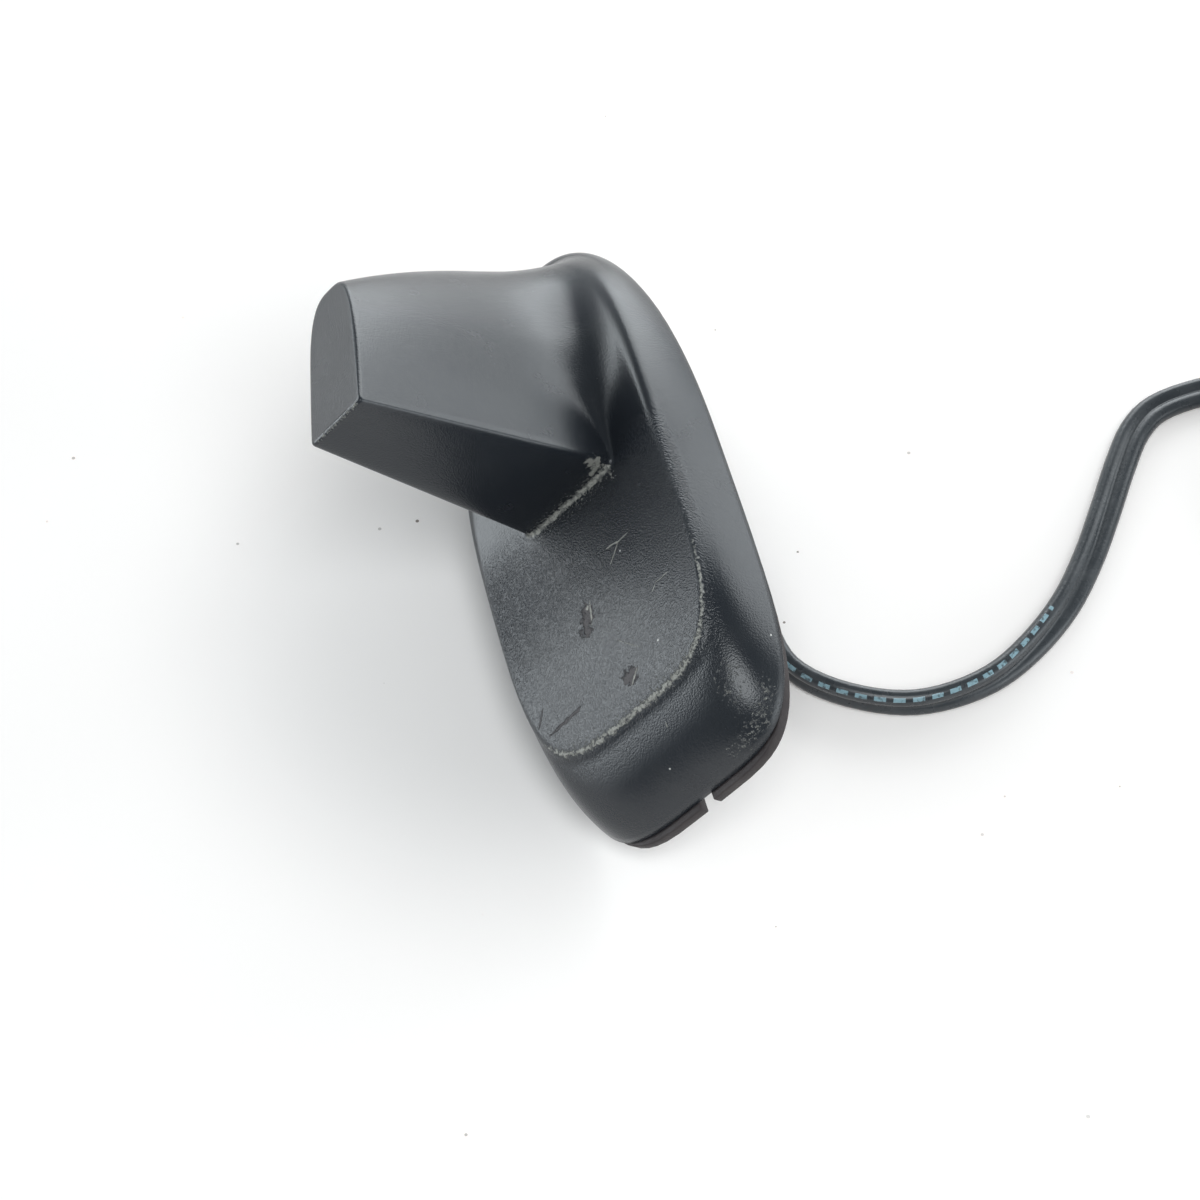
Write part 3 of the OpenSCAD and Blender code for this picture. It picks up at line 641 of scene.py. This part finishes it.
def placedMesh(name, bm, place):
    bm.transform(Matrix.Scale(mm, 4) @ place)
    turnOutward(bm)
    return meshFrom(bm, name)


# tie strap round the coil, with its head and its cut tail
tie = {"angle": math.radians(135), "width": 4, "thick": 0.8, "play": 0.15, "head": (5.2, 4.4, 3.0)}


def softBox(bm, size, at, edge=0.25, segments=2):
    made = bmesh.ops.create_cube(bm, size=1)["verts"]
    bmesh.ops.scale(bm, vec=size, verts=made)
    bmesh.ops.translate(bm, vec=at, verts=made)
    edges = [e for e in bm.edges if e.verts[0] in made]
    bmesh.ops.bevel(bm, geom=edges, offset=edge, segments=segments, affect="EDGES", profile=0.5)


def makeCoilTie():
    bm = bmesh.new()
    w, h = lead["coax"] * 2, lead["coax"] * 3
    t = tie["thick"]
    count = 40
    loop = squareSection(2, 2, 0.45, count)
    rings = []
    for y, shrink in ((-0.5, 0.12), (-0.42, 0.0), (0.42, 0.0), (0.5, 0.12)):
        rings.append([Vector((x * (w / 2 + t - shrink), y * tie["width"],
                              (z + 1) * (h + t) / 2)) for x, z in loop])
    for y in (0.5, -0.5):
        rings.append([Vector((x * (w / 2 + tie["play"]), y * tie["width"],
                              t + (z + 1) * (h - t) / 2)) for x, z in loop])
    points = [bm.verts.new(p) for ring in rings for p in ring]
    for i in range(len(rings)):
        for j in range(count):
            k, n = (j + 1) % count, (i + 1) % len(rings)
            bm.faces.new((points[i * count + j], points[n * count + j],
                          points[n * count + k], points[i * count + k]))
    hx = w / 2 + t + tie["head"][2] / 2 - 1.0
    softBox(bm, (tie["head"][2], tie["head"][0], tie["head"][1]), (hx, 0, 4.6), 0.5, 3)
    softBox(bm, (1.1, tie["width"] - 0.6, 2.4), (hx + 0.2, 0, 7.6), 0.2)
    place = tableMatrix(*lead["coilAt"], tie["angle"])
    place = place @ Matrix.Translation((lead["coilRadius"], 0, 0))
    obj = addObject("coil_strap", placedMesh("coil_strap", bm, place), "plug")
    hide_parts("coil_tie")
    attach(obj, "root")
    return obj


# square-shouldered coax connectors: body, ribs, latch and open barrel
plug = {"width": 8, "block": 10, "length": 22, "barrel": 3.6, "socket": 2.7, "seat": 12,
        "keys": 3, "ribDepth": 0.35, "ribs": (-3.0, -4.6, -6.2),
        "places": {"a": (92, 140), "b": (105, 140)}}


def lathe(bm, profile, place, count=48):
    rings = []
    for along, radius in profile:
        rings.append([bm.verts.new(place @ Vector((radius * math.cos(2 * math.pi * j / count),
                      along, radius * math.sin(2 * math.pi * j / count)))) for j in range(count)])
    for a, b in zip(rings, rings[1:]):
        for j in range(count):
            k = (j + 1) % count
            bm.faces.new((a[j], b[j], b[k], a[k]))
    bm.faces.new(rings[0])
    bm.faces.new(list(reversed(rings[-1])))


def makePlug(letter):
    bm = bmesh.new()
    w, mid = plug["width"], plug["width"] / 2
    softBox(bm, (w, plug["block"], w), (0, -plug["block"] / 2, mid), 0.7, 3)
    axis = Matrix.Translation((0, 0, mid))
    rib = plug["ribDepth"]
    for y in plug["ribs"]:
        softBox(bm, (w + 2 * rib, 0.8, w - 2.4), (0, y, mid), 0.2)
    tip, seat, inner = -plug["length"], -plug["seat"], plug["socket"]
    lathe(bm, [(-9.6, 2.2), (-9.6, plug["barrel"]), (-10.4, plug["barrel"]), (-10.6, 3.35),
               (-11.2, 3.35), (-11.4, plug["barrel"]), (tip + 0.4, plug["barrel"]),
               (tip + 0.1, 3.4), (tip, 3.2), (tip, inner + 0.2), (tip + 0.35, inner),
               (seat, inner), (seat, 0.3)], axis)
    for i in range(plug["keys"]):
        turn = Matrix.Rotation(math.radians(90 + 120 * i), 4, "Y")
        key = bmesh.new()
        softBox(key, (0.9, 9, 0.5), (plug["barrel"] + 0.05, -16.5, 0), 0.15)
        key.transform(axis @ turn)
        part = meshFrom(key, "key")
        bm.from_mesh(part)
        bpy.data.meshes.remove(part)
    softBox(bm, (3, 9, 1.1), (0, -9.6, w + 0.1), 0.3, 2)
    softBox(bm, (3, 1.2, 0.9), (0, -13.2, w + 0.35), 0.25, 2)
    softBox(bm, (3.6, 2.4, 0.7), (0, -5.2, w + 0.3), 0.2, 2)
    lathe(bm, [(0.6, 1.62), (0.6, 2.1), (0.2, 2.5), (-0.8, 2.6), (-0.8, 1.6)], axis, 32)
    name = "connector_body_" + letter
    obj = addObject(name, placedMesh(name, bm, tableMatrix(*plug["places"][letter])), "plug")
    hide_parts("connector_" + letter)
    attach(obj, "root")
    return obj


def makePlugContact(letter):
    bm = bmesh.new()
    axis = Matrix.Translation((0, 0, plug["width"] / 2))
    seat = -plug["seat"]
    lathe(bm, [(seat, 0.2), (seat, 0.5), (seat - 7.3, 0.5), (seat - 7.8, 0.3), (seat - 8, 0.1)],
          axis, 24)
    lathe(bm, [(seat, 0.6), (seat, 1.9), (seat - 3.8, 1.9), (seat - 4, 1.8), (seat - 4, 1.6),
               (seat - 3.8, 1.5), (seat - 1, 1.5), (seat - 1, 0.6)], axis, 40)
    name = "connector_pin_" + letter
    obj = addObject(name, placedMesh(name, bm, tableMatrix(*plug["places"][letter])), "contact")
    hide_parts("connector_" + letter + "_contact")
    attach(obj, "root")
    return obj


# the two legs, each into the back of its connector
wireHeight = -14.6
legRoutes = {
    "a": [(79.8, 161.4), (84.4, 159.2), (89, 154.6), (91.6, 148.5, -16.1), (92, 143, wireHeight),
          (92, 140.5, wireHeight), (92, 137, wireHeight)],
    "b": [(81, 164.2), (88, 161.4), (95.5, 158), (101.5, 152), (104.7, 146, -15.6),
          (105, 142, wireHeight), (105, 140, wireHeight), (105, 137, wireHeight)],
}


def makeLeg(letter):
    path = smoothRoute(layOut(legRoutes[letter]), lead["steps"])
    name = "coax_leg_" + letter
    section = squareSection(lead["coax"], lead["coax"], 1, 20)
    obj = addObject(name, sweepMesh(name, path, section), "lead")
    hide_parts("lead_leg_" + letter)
    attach(obj, "root")


sleeve, coilTie = makeSleeve(), makeCoilTie()
plugs = {k: makePlug(k) for k in "ab"}
contacts = {k: makePlugContact(k) for k in "ab"}
makeLead()
for k in "ab":
    makeLeg(k)
print("lead, coil, sleeve, legs and connectors made")

# the one-piece cover: skirt, ridge, deck and upright blade, laid as rings round the stud's axis
cover = {
    "edge": (27.1, 59.3, 59.3, 2.22, 4.6), "edgeHeight": 2.0,
    "ridge": (23.8, 54.4, 44.9, 2.7, 4.2), "ridgeHeight": 14.3, "noseHeight": 5.3, "flatFrom": 5,
    "ridgeRound": 1.9, "noseRound": 1.3, "rearSwell": 2.3, "sideSwell": 0.3, "wall": 2.2,
    "footWidth": 11.6, "footHeight": 12.5, "footFront": 54, "footRear": -1.2, "footCorner": 3,
    "footPowers": (2.65, 7), "footFall": 1, "sideBlend": 7, "rearBlend": 1, "blendSpan": (-19, -2),
    "tipWidth": 6.6, "tipHeight": 66.4, "tipFall": 0.22, "tipLength": 32.7, "tipCorner": 1.7,
    "tipPowers": (3.2, 6), "tipRound": 0.9, "frontSwell": 1.3, "columns": 384,
}
# rings from low to high: inside, edge, skirt, ridge, deck, foot, wall, tip and the tip's face
ringsIn = {"skirt": 12, "ridge": 12, "deck": 9, "foot": 14, "wall": 19, "tip": 8}


def outline(angle, width, front, rear, frontPower, rearPower, middle=0.0):
    s, c = math.sin(angle), math.cos(angle)
    reach, power = (front, frontPower) if c > 0 else (rear, rearPower)
    return Vector((math.copysign(width * abs(s) ** (2 / power), s),
                   middle - math.copysign(reach * abs(c) ** (2 / power), c), 0))


def edgePoint(angle, inside=0.0):
    w, f, r, fp, rp = cover["edge"]
    p = outline(angle, w - inside, f - inside, r - inside, fp, rp)
    p.z = cover["edgeHeight"]
    return p


def ridgePoint(angle, inside=0.0):
    w, f, r, fp, rp = cover["ridge"]
    p = outline(angle, w - inside, f - inside, r - inside, fp, rp)
    share = (cover["flatFrom"] - p.y) / (f + cover["flatFrom"])
    fall = max(0.0, min(1.0, share)) ** 2
    p.z = cover["ridgeHeight"] - (cover["ridgeHeight"] - cover["noseHeight"]) * fall - inside
    return p


def footPoint(angle, inside=0.0):
    middle = cover["footRear"] - cover["footCorner"]
    p = outline(angle, cover["footWidth"] - inside, cover["footFront"] + middle - inside,
                cover["footCorner"] - inside, *cover["footPowers"], middle)
    p.z = (cover["footHeight"] - inside
           - cover["footFall"] * min(1.0, max(0.0, -p.y) / cover["footFront"]) ** 2)
    return p


def tipHeight(y):
    return cover["tipHeight"] + cover["tipFall"] * y


def tipPoint(angle, inside=0.0):
    corner = cover["tipCorner"]
    p = outline(angle, cover["tipWidth"] - inside, cover["tipLength"] - corner - inside,
                corner - inside / 2, *cover["tipPowers"], -0.5 - corner)
    p.z = tipHeight(p.y) - inside
    return p


# rounded turn from the line p-corner to the line corner-q
def turnPoint(p, corner, q, before, after, t):
    a = corner + (p - corner).normalized() * before
    b = corner + (q - corner).normalized() * after
    return a * (1 - t) ** 2 + corner * 2 * t * (1 - t) + b * t * t


def turnRings(part, *turn):
    n = ringsIn[part]
    return [turnPoint(*turn, i / n) for i in range(n + 1)]


def swellPoint(low, high, t, height):
    s = high - low
    flat = Vector((s.x, s.y, 0)).length
    away = Vector((-s.x, -s.y, 0)) / flat
    return low + s * t + (away * s.z + Vector((0, 0, flat))).normalized() * 4 * t * (1 - t) * height


def between(a, b, share):
    return a + (b - a) * share


def blendAt(angle):
    start, end = cover["blendSpan"]
    share = easeStep((footPoint(angle).y - start) / (end - start))
    return between(cover["sideBlend"], cover["rearBlend"], share)


def roundingAt(angle):
    return cover["ridgeRound"] + cover["noseRound"] * max(0.0, math.cos(angle)) ** 2


# angles that space the points evenly along edge, foot and tip together
def evenAngles(count):
    fine = 7200     # steps at which the lengths are taken
    gone = [0.0]
    rows = [[f(2 * math.pi * i / fine) for i in range(fine + 1)]
            for f in (edgePoint, footPoint, tipPoint)]
    totals = [routeLength(r) for r in rows]
    for i in range(fine):
        gone.append(gone[-1] + sum((r[i + 1] - r[i]).length / t for r, t in zip(rows, totals)))
    made, at = [], 0
    for k in range(count):
        want = gone[-1] * (k + 0.001) / count
        while gone[at + 1] < want:
            at += 1
        made.append(2 * math.pi * (at + (want - gone[at]) / (gone[at + 1] - gone[at])) / fine)
    return made


def coverColumn(angle):
    edge, ridge, foot, tip = (f(angle) for f in (edgePoint, ridgePoint, footPoint, tipPoint))
    middle = Vector((0, -15, tipHeight(-15)))
    rr, blend = roundingAt(angle), blendAt(angle)
    swell = between(cover["sideSwell"], cover["rearSwell"], max(0.0, -math.cos(angle)))
    start = turnPoint(edge, ridge, foot, rr, rr, 0)
    column = [f(angle, cover["wall"]) for f in (tipPoint, footPoint, ridgePoint, edgePoint)]
    column.append(Vector((edge.x * 0.99, edge.y * 0.995, edge.z)))
    n = ringsIn["skirt"]
    column += [swellPoint(edge, start, (i + 0.25) / n, swell) for i in range(n)]
    column += turnRings("ridge", edge, ridge, foot, rr, rr)
    reach = max(0.2, min(blend, (ridge - foot).length - rr - 0.3))
    first = turnPoint(ridge, foot, tip, reach, blend, 0)
    low, n = column[-1], ringsIn["deck"] + 1
    column += [low.lerp(first, i / n) for i in range(1, n)]
    column += turnRings("foot", ridge, foot, tip, reach, blend)
    rim = turnRings("tip", foot, tip, middle, cover["tipRound"], cover["tipRound"])
    front = easeStep((math.cos(angle) + 0.1) / 0.6) * cover["frontSwell"]
    outward = Vector((foot.x, foot.y + 8, 0)).normalized()
    low, n = column[-1], ringsIn["wall"] + 1
    for i in range(1, n):
        t = i / n
        column.append(low.lerp(rim[0], t) + outward * front * 4 * t * (1 - t))
    end = rim[-1]
    return column + rim + [end.lerp(Vector((0, end.y, end.z)), t) for t in (0.15, 0.4, 0.7)]


# pale lines of wear and of painted highlight: middle ring, reach in mm, and spans of degrees from
# the nose with their strength
wearAndHighlightLines = {
    "wornAndHighlight": [
        {"ring": 23, "reach": 0.8, "spans": [(126, 146, 216, 226, 0.72)]},
        {"ring": 25, "reach": 2.2, "spans": [(130, 160, 200, 222, 0.28)]},
        {"ring": 23, "reach": 0.7, "spans": [(210, 220, 246, 262, 0.7)]},
        {"ring": 77, "reach": 0.45, "spans": [(140, 170, 225, 250, 0.5)]},
        # rings 7 and 12: a painted highlight down the skirt's near rear corner
        {"ring": 7, "reach": 2.5, "spans": [(180, 192, 214, 230, 0.36)]},
        {"ring": 12, "reach": 5.0, "spans": [(196, 204, 214, 226, 0.27)]},
    ],
    # the blade's foot crease: a pale line, partly a painted highlight
    "crease": [
        {"ring": 46, "reach": 0.75, "spans": [(96, 112, 224, 238, 0.86)]},
        {"ring": 50, "reach": 1.7,
         "spans": [(205, 214, 226, 234, 0.62), (150, 160, 180, 196, 0.25)]},
    ],
}


def spanShare(degrees, spans):
    return max(easeStep((degrees - a) / (b - a)) * easeStep((d - degrees) / (d - c)) * k
               for a, b, c, d, k in spans)


def wearAndHighlightAt(name, column, ring, degrees):
    most = 0.0
    for line in wearAndHighlightLines[name]:
        away = (column[ring] - column[line["ring"]]).length / line["reach"]
        if ring > 3 and away < 3:   # not inside
            most = max(most, spanShare(degrees, line["spans"]) * math.exp(-away * away))
    return most


# the blade's foot and the ridge flow into the front slope on both sides
softening = {
    "first": 14, "deck": 30, "last": 72,    # rings; full strength begins at the deck
    "ridgeShare": 0.2, "passes": 90,
    "from": 8, "fadeIn": 22, "to": 92, "fadeOut": 26,   # degrees from the nose
}


def softenColumn(column, angle):
    look = softening
    first, last = look["first"], look["last"]
    turned = math.degrees(min(angle, 2 * math.pi - angle))
    side = easeStep((turned - look["from"]) / look["fadeIn"])
    side *= easeStep((look["to"] - turned) / look["fadeOut"])
    if not side:
        return
    shares = [side * max(look["ridgeShare"] * easeStep((i - first) / 6),
                         easeStep((i - look["deck"]) / 9))
              * easeStep((last - i) / 14) * 0.5 for i in range(first, last)]
    for k in range(look["passes"]):
        column[first:last] = [column[i].lerp((column[i - 1] + column[i + 1]) / 2, shares[i - first])
                              for i in range(first, last)]


def makeCover():
    angles = evenAngles(cover["columns"])
    columns = [coverColumn(a) for a in angles]
    for column, angle in zip(columns, angles):
        softenColumn(column, angle)
    count, rings = len(columns), len(columns[0])
    points = [columns[j][i] for i in range(rings) for j in range(count)]
    faces = ringFaces(rings, count, closedEnd=False)
    last = (rings - 1) * count
    for j in range(count // 2):     # strips across the tip's face
        a, b = last + j, last + (j + 1) % count
        c, d = last + (count - j) % count, last + count - j - 1
        quad = [b, a] + ([c] if c != a else []) + ([d] if d != b else [])
        if len(quad) > 2:
            faces.append(tuple(quad))
    mesh = meshOf("cover_moulding", points, faces)
    turned = [math.degrees(a) for a in angles]
    for name in wearAndHighlightLines:
        layer = mesh.attributes.new(name, "FLOAT", "POINT")
        for i in range(rings):
            for j in range(count):
                layer.data[i * count + j].value = wearAndHighlightAt(name, columns[j], i, turned[j])
    return addObject("cover_moulding", mesh, "cover")


coverMoulding = makeCover()
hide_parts("cover")
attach(coverMoulding, "root")
print("cover made")


# copies of plain pieces with their sharp edges eased
softened = {"base_plate": 0.35, "seal_gasket": 0.3, "stud_seal": 0.3, "shield_can": 0.12,
            "gps_patch": 0.15, "amplifier_chips": 0.08, "blade_foam": 0.4}
thread = {"core": 7.35, "crest": 8.0, "pitch": 1.5, "from": -17.4, "to": -2.6, "steps": 40,
          "root": 0.62, "flat": 0.1, "sink": 0.3, "shank": (7.3, 8.05, -2.05)}


def easedMesh(node, width, change=None):
    bm = bmesh.new()
    bm.from_mesh(node.data)
    if change:
        change(bm)
    bmesh.ops.remove_doubles(bm, verts=bm.verts, dist=0.0005 * mm)
    bmesh.ops.dissolve_limit(bm, angle_limit=math.radians(1), verts=bm.verts, edges=bm.edges)
    sharp = [e for e in bm.edges
             if len(e.link_faces) == 2 and e.calc_face_angle(0) > math.radians(38)]
    bmesh.ops.bevel(bm, geom=sharp, offset=width * mm, segments=2, profile=0.5, affect="EDGES",
                    clamp_overlap=True)
    bmesh.ops.triangulate(bm, faces=bm.faces)
    return meshFrom(bm, node.name + "_eased")


def drawInStud(bm):
    inner, outer, collar = thread["shank"]
    for v in bm.verts:
        far = math.hypot(v.co.x, v.co.y) / mm
        if inner < far < outer and v.co.z < collar * mm:
            v.co.x = v.co.x * thread["core"] / thread["crest"]
            v.co.y = v.co.y * thread["core"] / thread["crest"]


def addThread(mesh):
    bm = bmesh.new()
    bm.from_mesh(mesh)
    turns = (thread["to"] - thread["from"]) / thread["pitch"]
    count = int(turns * thread["steps"])
    rings = []
    for i in range(count + 1):
        angle = 2 * math.pi * i / thread["steps"]
        z = thread["from"] + thread["pitch"] * i / thread["steps"]
        grow = min(1.0, i / 20, (count - i) / 20)
        crest = thread["core"] + (thread["crest"] - thread["core"]) * grow
        root = thread["core"] - thread["sink"]
        section = [(root, -thread["root"]), (crest, -thread["flat"]),
                   (crest, thread["flat"]), (root, thread["root"])]
        rings.append([bm.verts.new(Vector((r * math.cos(angle), r * math.sin(angle), z + dz)) * mm)
                      for r, dz in section])
    for a, b in zip(rings, rings[1:]):
        for k in range(4):
            bm.faces.new((a[k], b[k], b[(k + 1) % 4], a[(k + 1) % 4]))
    bm.faces.new(rings[0])
    bm.faces.new(rings[-1][::-1])
    bm.to_mesh(mesh)
    bm.free()


def makeSoftened(name, width):
    node = frame["nodes"][name]
    mesh = easedMesh(node, width, drawInStud if name == "base_plate" else None)
    if name == "base_plate":
        addThread(mesh)
    slot = next(p["material_slot"] for p in frame["record"]["subparts"] if p["node"] == name)
    obj = addObject(name + "_eased", mesh, slot)
    mesh.set_sharp_from_angle(angle=math.radians(30))
    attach(obj, "root")
    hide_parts(name)


for name, width in softened.items():
    makeSoftened(name, width)
print("inner pieces eased")

# table top: white, with a painted shade round the antenna where its lift fades; it keeps the shadow
# and is seen through from below
tableLook = {
    "colour": (0.885, 0.852, 0.83, 1), "dirt": (0.25, 0.22, 0.2, 1), "dirtReach": (190, 60),
    "lift": 0.21, "shadeAt": (35, 5, 0), "shadeReach": (26, 74),    # painted shade: no lift round the antenna
}


def makeTableMaterial():
    material = bpy.data.materials.new("white_table")
    material.use_nodes = True
    tree = material.node_tree
    tree.nodes.clear()
    place = scaled(tree, put(tree, "TexCoord").outputs["Object"], 1000.0)
    specks = useGroup(tree, "dust", place, Scale=0.22, Share=0.16, Size=0.07)
    near = remap(tree, vectorCalc(tree, "LENGTH", place), *tableLook["dirtReach"])
    drifted = remap(tree, noiseIn(tree, place, 0.025, 3.0), 0.46, 0.62)
    specks = times(tree, specks, near, drifted)
    colour = mixed(tree, specks, tableLook["colour"], tableLook["dirt"])
    plain = put(tree, "BsdfDiffuse", {"Color": colour})
    light = put(tree, "LightPath").outputs
    seen = calc(tree, "MAXIMUM", light["Is Camera Ray"],
                calc(tree, "MAXIMUM", light["Is Glossy Ray"], light["Is Transmission Ray"]))
    # painted shade: the camera-ray lift fades to nothing near shadeAt, so the table is darker round
    # the antenna
    away = vectorCalc(tree, "LENGTH", vectorCalc(tree, "SUBTRACT", place, tableLook["shadeAt"]))
    lift = remap(tree, away, *tableLook["shadeReach"], 0.0, tableLook["lift"])
    lift = put(tree, "Emission", {"Color": colour, "Strength": times(tree, seen, lift)})
    both = put(tree, "AddShader", {0: plain.outputs[0], 1: lift.outputs[0]})
    behind = put(tree, "NewGeometry").outputs["Backfacing"]
    clear = put(tree, "BsdfTransparent")
    shown = put(tree, "MixShader", {0: behind, 1: both.outputs[0], 2: clear.outputs[0]})
    out = tree.nodes.new("ShaderNodeOutputMaterial")
    tree.links.new(shown.outputs[0], out.inputs["Surface"])
    return material


def makeTable():
    bm = bmesh.new()
    bmesh.ops.create_grid(bm, x_segments=1, y_segments=1, size=table["reach"])
    mesh = placedMesh("table_top", bm, tableMatrix(*table["middle"]))
    mesh.materials.append(makeTableMaterial())
    if mesh.polygons[0].normal.dot(tableUp) < 0:
        mesh.flip_normals()
    obj = addObject("table_top", mesh, smooth=False)


makeTable()

# a broad window behind the antenna, and a room pale at the far side and dark at the near one
lights = {
    "farWindow": {"at": (-520, 250, 195), "size": 420, "power": 1.7},
    "ceiling": {"at": (300, 10, 520), "size": 380, "power": 2.0},
    "sideWindow": {"at": (-260, 560, 250), "size": 440, "power": 1.25},
}
lightAim, lightColour = (0, 20, 0), (0.93, 0.975, 1)
room = {
    "overhead": 0.16, "near": 0.16, "far": 1.15, "left": 4.9, "right": 2.6,
    "tint": (0.90, 0.965, 1, 1), "white": (1, 1, 1, 1),
}


def makeLights():
    for name, light in lights.items():
        data = bpy.data.lights.new(name, "AREA")
        data.shape, data.size, data.energy = "DISK", light["size"] * mm, light["power"]
        data.color = lightColour
        obj = bpy.data.objects.new(name, data)
        scene.collection.objects.link(obj)
        place = onTable(*light["at"])
        obj.location = place * mm
        obj.rotation_mode = "QUATERNION"
        obj.rotation_quaternion = (onTable(*lightAim) - place).to_track_quat("-Z", "Y")


def makeRoom():
    world = bpy.data.worlds.new("pale_room")
    world.use_nodes = True
    tree = world.node_tree
    back = tree.nodes["Background"]
    direction = put(tree, "TexCoord").outputs["Generated"]
    up = vectorCalc(tree, "DOT_PRODUCT", direction, tuple(tableUp))
    along = vectorCalc(tree, "DOT_PRODUCT", direction, tuple(alongY))
    across = vectorCalc(tree, "DOT_PRODUCT", direction, tuple(tableAcross))
    low = remap(tree, up, 0.7, 0.15)
    away = remap(tree, along, 0.45, -0.35)
    right = remap(tree, across, 0.35, 0.8)
    left = times(tree, away, remap(tree, across, -0.35, -0.8), room["left"])
    most = calc(tree, "MAXIMUM", away, right)
    sides = remap(tree, most, 0, 1, room["near"], room["far"], "LINEAR")
    beside = times(tree, remap(tree, across, 0.3, 0.7), remap(tree, along, 0.0, 0.45),
                   room["right"])
    sides = calc(tree, "ADD", calc(tree, "ADD", sides, beside), left)
    level = put(tree, "Mix", {0: low, 2: room["overhead"], 3: sides}).outputs[0]
    camera = put(tree, "LightPath").outputs["Is Camera Ray"]
    tree.links.new(calc(tree, "MAXIMUM", camera, level), back.inputs["Strength"])
    tree.links.new(mixed(tree, camera, room["tint"], room["white"]), back.inputs["Color"])
    scene.world = world


makeLights()
makeRoom()
print("table and light made")
